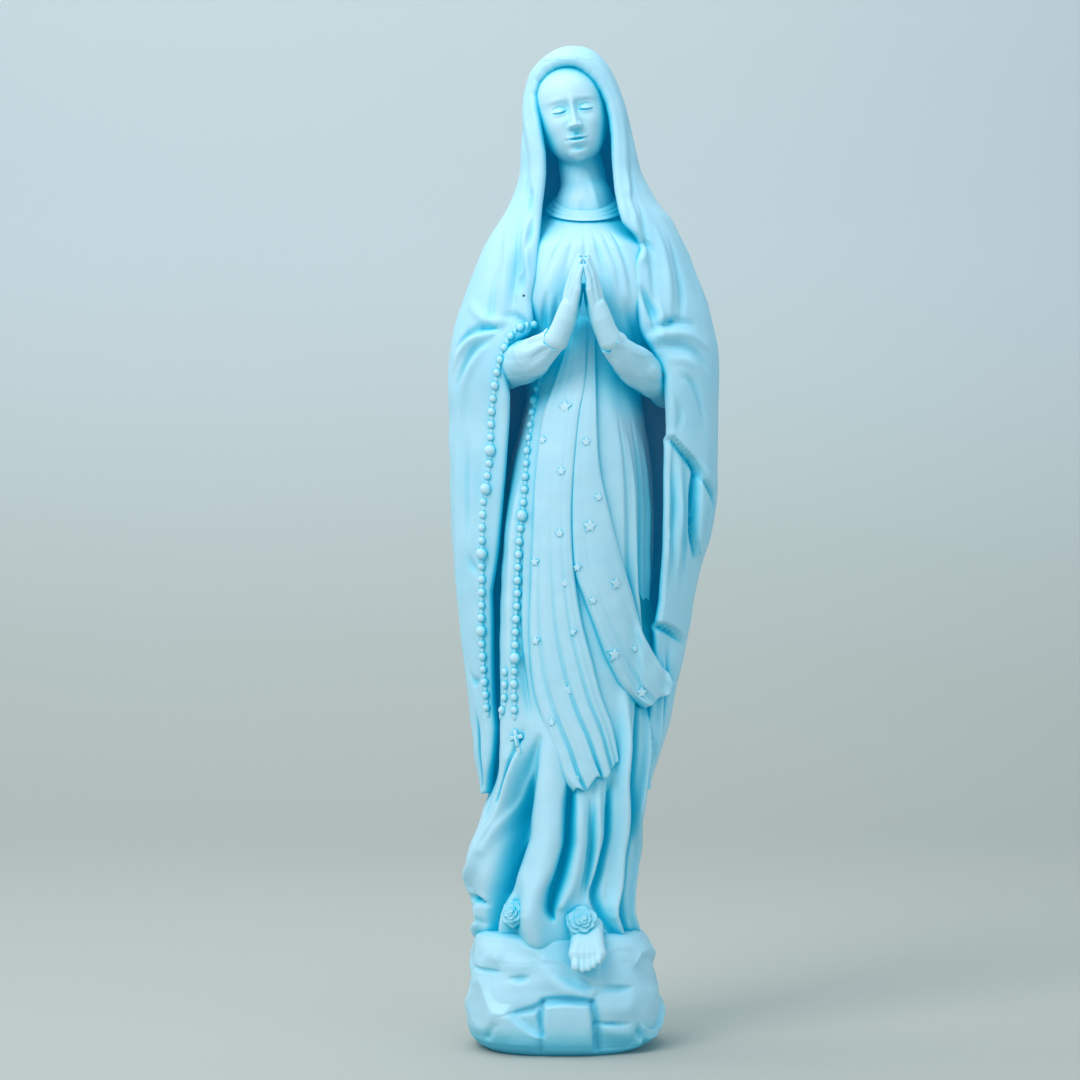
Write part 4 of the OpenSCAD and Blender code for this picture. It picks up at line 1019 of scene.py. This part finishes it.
for hand_side in ("right", "left"):
    mirrored = hand_side == "left"
    balls = []
    for form in (PALM, BACK_OF_HAND, THUMB):
        balls += round_form([(flip(p, mirrored), r) for p, r in form])
    for root, knuckle, tip, radii in FINGERS:
        middle = tuple((np.array(knuckle) + np.array(tip)) / 2 + (-0.5, 0, 0))
        places = [flip(p, mirrored) for p in (root, knuckle, middle, tip)]
        balls += round_form(list(zip(places, (radii[0], radii[1], (radii[1] + radii[2]) / 2 + 0.06, radii[2]))))
    hand = press_together(hand_side + "_hand_modelled", balls, 0.24, 6)
    finish_piece(hand, skin_paint, "skin_paint", hand_side + "_hand")

# Sash: two tails of a wide girdle, cast thin and bonded down the front of the gown. Each widens
# towards a slanted end and is creased lengthwise.
sash_paint = plaster("sash_paint", (0.47, 0.77, 0.90), pinholes=0.0)

WIDE_TAIL = (
    [(5.4, 295), (1.4, 283), (-2.0, 270), (-5, 259.4), (-8.2, 249), (-10.8, 229), (-12.0, 209.4), (-12.9, 186.6),
     (-13.7, 163.9), (-12.3, 144.2), (-8, 128.4), (-3.6, 116.4), (-0.6, 107.6), (3.0, 102.2)],
    [(7.6, 295), (8.6, 283), (8.4, 270), (7.4, 259.4), (5.8, 251), (3.5, 228), (2.7, 209.4), (3.5, 190.6), (6.3, 170.8),
     (10.2, 155), (13.6, 141.2), (17.4, 130.3), (19.4, 121.4), (20.6, 113.4)])
NARROW_TAIL = (
    [(6.4, 295), (8.0, 283), (7.6, 268), (4.4, 247), (2.6, 228), (2.0, 209.4), (3.0, 190.6), (6.5, 179.7), (10, 170.2),
     (16.2, 154.2), (23.3, 141.8), (32.6, 134.6)],
    [(8.8, 295), (11.4, 283), (11.8, 268), (12.2, 247), (13.4, 230), (17.2, 212.4), (21.1, 197.5), (25.3, 182.7), (31, 166),
     (37.4, 154.8), (42, 148), (43.6, 143.6)])


def eased(t):
    return t * t * (3 - 2 * t)


def sash_skin(edges, thick, creases, base_lift, wavy):
    """A tail between two edges, laid over the gown and, at its far tip, over the mantle."""
    left, right = [np.array(e, float) for e in edges]
    steps = np.linspace(0, 1, len(left))

    def place(across, up):
        down = 1 - up
        ring = across * 2                       # out along the front, back along the underside
        u = np.where(ring <= 1, ring, 2 - ring)
        lx, lz = [flow(down, steps, left[:, c]) for c in (0, 1)]
        rx, rz = [flow(down, steps, right[:, c]) for c in (0, 1)]
        x, z = lx + (rx - lx) * u, lz + (rz - lz) * u
        hem = np.clip((down - 0.88) / 0.12, 0, 1)
        z = z + hem * (1.5 * np.sin(u * 15 + 0.5) * wavy - 0.6 * np.sin(u * math.pi))
        opening = 0.10 + 1.5 * np.clip((down - 0.46) / 0.5, 0, 1)
        crease = sum(h * opening * np.exp(-((u - at - slope * (down - 0.5)) / wide) ** 2)
                     for at, slope, wide, h in creases)
        at_end = np.clip((down - 0.985) / 0.015, 0, 1)
        rounded = np.sqrt(np.clip(1 - (2 * u - 1) ** 12, 0, 1)) * np.sqrt(np.clip(1 - at_end ** 2, 0, 1))
        angle = on_front(GOWN_SECTIONS, 1, x, z)
        tucked = eased(np.clip(down / 0.07, 0, 1))
        front = base_lift - 1.2 - 2.8 * (1 - tucked)
        lift = np.where(ring > 1, -2.5, front + ((thick + 1.2) * tucked + crease) * rounded
                        + 0.12 * lumps(x, z, z * 0, 8, 41))
        bx, by = body_point(GOWN_SECTIONS, angle, z, lift)
        side = on_front(MANTLE_SECTIONS, 1, x, z)
        mx, my = body_point(MANTLE_SECTIONS, side, z, mantle_relief(side, z) + lift - front + 0.4)
        over = eased(np.clip((x - 22) / 9, 0, 1) * np.clip((186 - z) / 20, 0, 1))
        return bx + (mx - bx) * over, by + (my - by) * over, z
    return place


# lengthwise creases: place across, slant, width, rise
WIDE_CREASES = [(0.10, 0.0, 0.06, 0.4), (0.22, 0.10, 0.032, -0.9), (0.36, 0.16, 0.06, 0.5), (0.50, 0.22, 0.030, -1.0),
                (0.66, 0.14, 0.06, 0.4), (0.76, 0.10, 0.026, -0.8), (0.90, 0.0, 0.03, -0.5)]
NARROW_CREASES = [(0.12, 0.0, 0.07, 0.5), (0.34, 0.05, 0.05, -0.5), (0.6, 0.05, 0.10, 0.4), (0.86, 0.0, 0.05, 0.4)]
wide = sew(clay_sheet("sash_right_tail_laid", 200, 260, sash_skin(WIDE_TAIL, 1.5, WIDE_CREASES, 1.5, 1.0)), 80)
finish_piece(wide, sash_paint, "sash_paint", "sash_right_tail")
narrow = sew(clay_sheet("sash_left_tail_laid", 160, 240, sash_skin(NARROW_TAIL, 1.6, NARROW_CREASES, 0.6, 0.3)), 80)
finish_piece(narrow, sash_paint, "sash_paint", "sash_left_tail")

# Stars: small five-pointed stars in plaster, pressed from a mould in three sizes and bonded to the
# two tails of the sash, with their middles raised to a blunt point.
STARS = [  # place across, height, size
    (-0.3, 254, 6.2), (-8.9, 241.1, 4.2), (8, 240.2, 4.2), (-1.7, 228.8, 4.2), (12.8, 218.7, 4.2),
    (9.4, 207.4, 6.2), (-2.3, 204.5, 4.2), (-12, 193.3, 4.0), (4.5, 191.2, 4.0), (-0.4, 185, 4.2),
    (19.8, 184.9, 6.0), (10.7, 178.3, 4.2), (-11.8, 162.4, 4.2), (2.6, 165.9, 4.2), (19.1, 157, 6.0),
    (27.3, 159.1, 3.8), (30.1, 141.7, 5.4), (1.5, 143.4, 6.0), (-5.5, 130.5, 3.8), (5.2, 109, 3.8)]


def cast_onto(surfaces, x, z):
    """The front surface of the foremost piece at a place seen from the front, and the way it faces."""
    hits = []
    for piece in surfaces:
        found, at, normal, _ = piece.ray_cast(Vector((x * U, -0.2, z * U)), Vector((0, 1, 0)))
        if not found:
            found, at, normal, _ = piece.closest_point_on_mesh(Vector((x * U, -0.03, z * U)))
            at = at + Vector((0, 0.05, 0))
        hits.append((at.y, at.copy(), normal.copy()))
    best = min(hits, key=lambda hit: hit[0])
    if best[0] > 0.02:
        best = (best[0], best[1] - Vector((0, 0.05, 0)), best[2])
    return best[1:]


def star_points(size, points=5):
    ring = []
    for i in range(points * 2):
        reach = size / 2 if i % 2 == 0 else size * 0.24
        ring.append((reach * math.sin(math.pi * i / points), reach * math.cos(math.pi * i / points)))
    return ring


star_objects = []
for x, z, size in STARS:
    at, normal = cast_onto((wide, narrow, gown), x, z)
    bpy.ops.object.select_all(action="DESELECT")
    bpy.ops.mesh.primitive_circle_add(vertices=10, radius=1, fill_type="TRIFAN")
    star = bpy.context.object
    ring = star_points(size)
    for vertex in star.data.vertices:
        flat = vertex.co.xy
        if flat.length < 0.5:
            vertex.co = (0, 0, 0.75 * U)
        else:
            i = round(math.atan2(flat.x, flat.y) / (math.pi / 5)) % 10
            vertex.co = (ring[i][0] * U, ring[i][1] * U, (0.75 if i % 2 == 0 else 0.3) * U)
    bpy.ops.object.mode_set(mode="EDIT")
    bpy.ops.mesh.select_all(action="SELECT")
    bpy.ops.mesh.normals_make_consistent(inside=False)
    bpy.ops.mesh.select_all(action="DESELECT")
    bpy.ops.mesh.select_non_manifold(extend=False)
    bpy.ops.mesh.extrude_region_move(TRANSFORM_OT_translate={"value": (0, 0, -1.1 * U)})
    bpy.ops.mesh.fill_holes(sides=0)
    bpy.ops.mesh.select_all(action="SELECT")
    bpy.ops.mesh.normals_make_consistent(inside=False)
    bpy.ops.object.mode_set(mode="OBJECT")
    facing = normal.copy()
    facing.z *= 0.5
    star.rotation_euler = facing.to_track_quat("Z", "Y").to_euler()
    star.location = at + normal * 0.35 * U
    settle()
    star_objects.append(star)
stars = join_up(star_objects, "sash_stars_pressed")
finish_piece(stars, sash_paint, "sash_paint", "sash_stars")

# Rosary: round beads strung close, cast in relief with every eleventh one large. One strand hangs over
# the edge of the mantle and one down the gown, and they join at a short drop with a crucifix.
rosary_paint = plaster("rosary_paint", (0.52, 0.79, 0.90), grain=0.6, pinholes=0.3)

OUTER_ROUTE = [
    (-12.6, 286.4), (-14.7, 286), (-17.8, 285), (-20.6, 282.8), (-22.8, 279.4), (-24.6, 275.6), (-26.0, 271),
    (-27.3, 265), (-28.2, 259), (-28.8, 254), (-29.1, 249), (-29.3, 243.6), (-29.5, 238.4), (-29.8, 233.4),
    (-30.5, 228.2), (-31.2, 222.5), (-32.1, 216.7), (-32.5, 211), (-32.8, 205.2), (-32.9, 199.4),
    (-32.9, 194), (-32.9, 187.6), (-32.9, 180.9), (-33, 174), (-33.2, 167.6), (-33, 162.2), (-32.6, 156.4),
    (-32.2, 150), (-31.7, 144.8), (-31.2, 139), (-30.7, 133.2)]
INNER_ROUTE = [
    (-9.6, 267), (-10.5, 264), (-11.3, 260.8), (-12.4, 254.3), (-13.5, 247), (-14.4, 240.5), (-15.0, 234.7),
    (-15.6, 227), (-16.2, 218.6), (-17, 211), (-17.9, 204), (-18.4, 197.2), (-18.7, 191.3), (-18.9, 185.5),
    (-19.0, 179.6), (-19.3, 173.8), (-19.6, 167.7), (-19.8, 162), (-19.9, 157.2), (-20.0, 152.4),
    (-20.2, 145.8), (-20.1, 141), (-20.0, 136.4), (-20.1, 131.7)]
SHORT_ROUTE = [(-23.4, 150), (-23.4, 146), (-23.6, 141.4), (-24.2, 136.1), (-25.7, 132)]
BEAD, LARGE_BEAD = 3.15, 4.3
BEAD_STEP, LINK = 5.1, 1.25


def bead(at, normal, radius, sunk, shape, fineness):
    """A bead or a link of the cord, set into the surface and stretched to its shape."""
    bpy.ops.mesh.primitive_uv_sphere_add(segments=fineness[0], ring_count=fineness[1], radius=radius * U,
                                         location=at + sunk * U * normal)
    bpy.context.object.scale = shape
    settle()
    return bpy.context.object


def string_beads(name, route, surfaces, large_ones):
    """Beads at even steps along a route seen from the front, with a link of cord after each."""
    p = np.array(route, float)
    run = run_along(p)
    made = []
    for i, s in enumerate(np.arange(0, run[-1], BEAD_STEP)):
        radius = (LARGE_BEAD if i in large_ones else BEAD) / 2 * (1 + 0.06 * math.sin(i * 2.4))
        for along, size, sunk, shape, fineness in ((s, radius, 0.16 * radius, (1, 0.92, 1.04), (20, 12)),
                                                   (s + BEAD_STEP / 2, LINK, -0.35, (0.8, 0.8, 1.5), (12, 8))):
            x, z = [float(flow(along, run, p[:, c])) for c in (0, 1)]
            made.append(bead(*cast_onto(surfaces, x, z), size, sunk, shape, fineness))
    strand = join_up(made, name)
    bpy.ops.object.shade_smooth()
    return strand


for name, route, surfaces, large_ones, node_name in (
        ("rosary_outer_beads", OUTER_ROUTE, (mantle, gown), (11, 14, 19, 25), "rosary_outer_strand"),
        ("rosary_inner_beads", INNER_ROUTE, (gown,), (2, 11, 22), "rosary_inner_strand"),
        ("rosary_drop_beads", SHORT_ROUTE, (gown,), (), "rosary_pendant")):
    finish_piece(string_beads(name, route, surfaces, large_ones), rosary_paint, "rosary_paint", node_name)

# Crucifix: a small cross with a plain figure, cast with the rosary's end and laid on the gown,
# turned a little with the fall of the cloth. Its upright, arm and figure are three softened bars.
bars = []
for size, offset in (((1.7, 1.6, 9.6), (0, 0, 0)), ((5.6, 1.6, 1.7), (0, 0, 1.7)),
                     ((1.1, 2.4, 4.2), (0, -0.4, 0.2))):
    bpy.ops.mesh.primitive_cube_add(size=U)
    bar = bpy.context.object
    bar.scale = size
    bar.location = [c * U for c in offset]
    settle()
    work(bar, "soft", "BEVEL", width=0.35 * U, segments=3)
    bars.append(bar)
crucifix = join_up(bars, "rosary_crucifix_cast")
at, normal = cast_onto((gown,), -19.0, 122.8)
crucifix.rotation_euler = (0, math.radians(-12), math.radians(-24))
crucifix.location = at + normal * 0.5 * U
settle()
bpy.ops.object.shade_smooth_by_angle(angle=math.radians(40))
finish_piece(crucifix, rosary_paint, "rosary_paint", "rosary_crucifix")

# Roses: one on each foot, each a relief of overlapping petals, the inner ones standing higher, cast
# in plaster and set into the hem of the gown.
rose_paint = plaster("rose_paint", (0.46, 0.77, 0.90), pinholes=0.0)


PETAL_RINGS = (  # petals, and in parts of the rose's size: distance from its middle, reach, height
    (6, 0.29, 0.22, -0.02), (5, 0.21, 0.19, 0.06), (4, 0.125, 0.15, 0.13), (3, 0.06, 0.10, 0.19),
    (1, 0.01, 0.05, 0.22))


def rose_skin(size, seed):
    """A rose in relief: each petal a shallow dish with a raised lip, the inner ones standing higher."""
    rng = np.random.default_rng(seed)
    petals = []
    for ring, (count, off, reach, high) in enumerate(PETAL_RINGS):
        for i in range(count):
            turn = 2 * math.pi * (i + 0.43 * ring + rng.uniform(-0.2, 0.2)) / count
            petals.append((off * size * math.sin(turn), off * size * math.cos(turn),
                           reach * size * rng.uniform(0.9, 1.15), (high + 0.012 * (i % 3)) * size))

    def place(across, up):
        turn = across * 2 * math.pi
        r = np.clip(up / 0.85, 0, 1) * 0.5 * size * (1 + 0.05 * np.sin(5 * turn + seed) + 0.03 * np.sin(9 * turn))
        x, y = r * np.sin(turn), r * np.cos(turn)
        z = -0.10 * size * (2 * r / size) ** 2 - 0.03 * size + 0.12 * lumps(x, y, z=x * 0, size=3.5, seed=seed)
        for px, py, reach, high in petals:
            inside = reach - np.hypot(x - px, y - py)
            lip = 0.055 * size * np.exp(-np.clip(inside, 0, 9) / (0.035 * size))
            leaf = high + lip - 0.05 * size * (2 * r / size) ** 2
            z = z + np.maximum(leaf - z, 0) * np.clip(inside / 0.28, 0, 1)
        return x, y, z - 0.35 * size * np.clip((up - 0.85) / 0.15, 0, 1)
    return place


def rose(name, centre, size, seed, facing):
    made = sew(clay_sheet(name, 150, 110, rose_skin(size, seed)), 60)
    made.rotation_euler = [math.radians(a) for a in facing]
    made.location = [c * U for c in centre]
    settle()
    work(made, "thumbed", "SMOOTH", iterations=2)
    return made


right_rose = rose("right_rose_modelled", (-20.8, -28.4, 55.8), 10.4, 5, (74, 8, -24))
finish_piece(right_rose, rose_paint, "rose_paint", "right_rose")
left_rose = rose("left_rose_modelled", (6.6, -33.4, 53.2), 12.4, 8, (68, 4, 6))
finish_piece(left_rose, rose_paint, "rose_paint", "left_rose")

# Left foot: bare, cast apart and set under the hem, seen from the instep forward, with its toes
# resting over the edge of the rock.
foot_balls = []
TOES = [  # place across, height of the tip, radius of the toe
    (3.9, 35.4, 1.75), (6.5, 34.6, 1.4), (8.7, 35.0, 1.35), (10.8, 36.0, 1.3), (12.8, 37.6, 1.25)]
for toe_x, tip_z, toe_r in TOES:
    inward = (toe_x - 8.4) * 0.55 + 8.4
    foot_balls += round_form([
        ((inward, -26, 50), 4.2), ((inward, -31, 47.4), 4.0), (((toe_x + inward) / 2, -35, 43.6), 3.4),
        ((toe_x, -37.2, 40.8), 3.0), ((toe_x, -38.6, 38.8 + (tip_z - 35) * 0.5), 2.0),
        ((toe_x - 0.1, -40.4, tip_z + 1.4), toe_r * 1.02), ((toe_x - 0.1, -40.6, tip_z + 0.8), toe_r * 0.95)])
foot = press_together("left_foot_modelled", foot_balls, 0.26, 1)
finish_piece(foot, skin_paint, "skin_paint", "left_foot")

# Studio: a pale sweep that rises behind the statue, one large soft light high on the left and a
# weak one on the right, and a level camera at half the statue's height.
SWEEP_WIDE, SWEEP_FRONT, SWEEP_BACK, SWEEP_BEND, SWEEP_HIGH = 4.0, 2.2, 0.9, 0.5, 2.4
bpy.ops.object.select_all(action="DESELECT")
bpy.ops.mesh.primitive_grid_add(x_subdivisions=2, y_subdivisions=60, size=1)
sweep = bpy.context.object
sweep.name = "studio_sweep"
for vertex in sweep.data.vertices:
    length = SWEEP_FRONT + SWEEP_BACK + SWEEP_BEND * math.pi / 2 + SWEEP_HIGH
    run = (vertex.co.y + 0.5) * length - SWEEP_FRONT
    bend = min(max((run - SWEEP_BACK) / SWEEP_BEND, 0), math.pi / 2)
    straight = max(run - SWEEP_BACK - SWEEP_BEND * math.pi / 2, 0)
    vertex.co = (vertex.co.x * SWEEP_WIDE, min(run, SWEEP_BACK) + SWEEP_BEND * math.sin(bend),
                 cad_low.z + SWEEP_BEND * (1 - math.cos(bend)) + straight)
bpy.ops.object.shade_smooth()
paper = bpy.data.materials.new("pale_paper")
paper.use_nodes = True
tree = paper.node_tree
shader = tree.nodes["Principled BSDF"]
shader.inputs["Roughness"].default_value = 0.9
where = node(tree, "TexCoord").outputs["Object"]
fibre = noise(tree, where, 1.6, 2.0).outputs["Color"]
height = node(tree, "SeparateXYZ")
tree.links.new(where, height.inputs["Vector"])
# painted shade: the paper is coloured darker and warmer where it lies flat as floor than where it rises behind, to even
# out the light on it
rising = spread(tree, height.outputs["Z"], 0, 0.5, smooth=True)
tone = mixed(tree, rising, (0.495, 0.497, 0.455, 1), (0.635, 0.685, 0.70, 1))
tree.links.new(mixed(tree, 0.05, tone, fibre, "MULTIPLY"), shader.inputs["Base Color"])
sweep.data.materials.append(paper)

world = bpy.data.worlds.new("studio_air")
world.use_nodes = True
air = world.node_tree.nodes["Background"]
air.inputs["Color"].default_value = (0.60, 0.86, 1.0, 1)
air.inputs["Strength"].default_value = 0.62
bpy.context.scene.world = world


def soft_light(name, place, aim, size, watts, colour):
    bpy.ops.object.light_add(type="AREA", location=place)
    lamp = bpy.context.object
    lamp.name = name
    lamp.data.size = size
    lamp.data.energy = watts
    lamp.data.color = colour
    lamp.rotation_euler = (Vector(aim) - Vector(place)).to_track_quat("-Z", "Y").to_euler()


MIDDLE = (cad_low.z + cad_high.z) / 2
soft_light("key_light", (-0.65, -0.85, MIDDLE + 0.85), (0, 0, MIDDLE + 0.08), 0.6, 9.3, (1.0, 0.95, 0.945))
soft_light("fill_light", (1.2, -1.1, MIDDLE + 0.2), (0, 0, MIDDLE), 1.2, 4.0, (0.74, 0.94, 1.0))
soft_light("backdrop_light", (-0.3, 0.3, MIDDLE + 1.1), (0.15, 1.3, MIDDLE), 1.4, 10.4, (1.0, 0.99, 0.98))

CAMERA_ACROSS, CAMERA_REACH, CAMERA_HEIGHT, CAMERA_LENS = -10, 1.25, 201.9, 103.9
bpy.ops.object.camera_add(location=(CAMERA_ACROSS * U, -CAMERA_REACH, CAMERA_HEIGHT * U),
                          rotation=(math.pi / 2, 0, 0))
camera = bpy.context.object
camera.data.sensor_width = 36
camera.data.lens = CAMERA_LENS
bpy.context.scene.camera = camera
bpy.context.scene.view_settings.view_transform = "Standard"
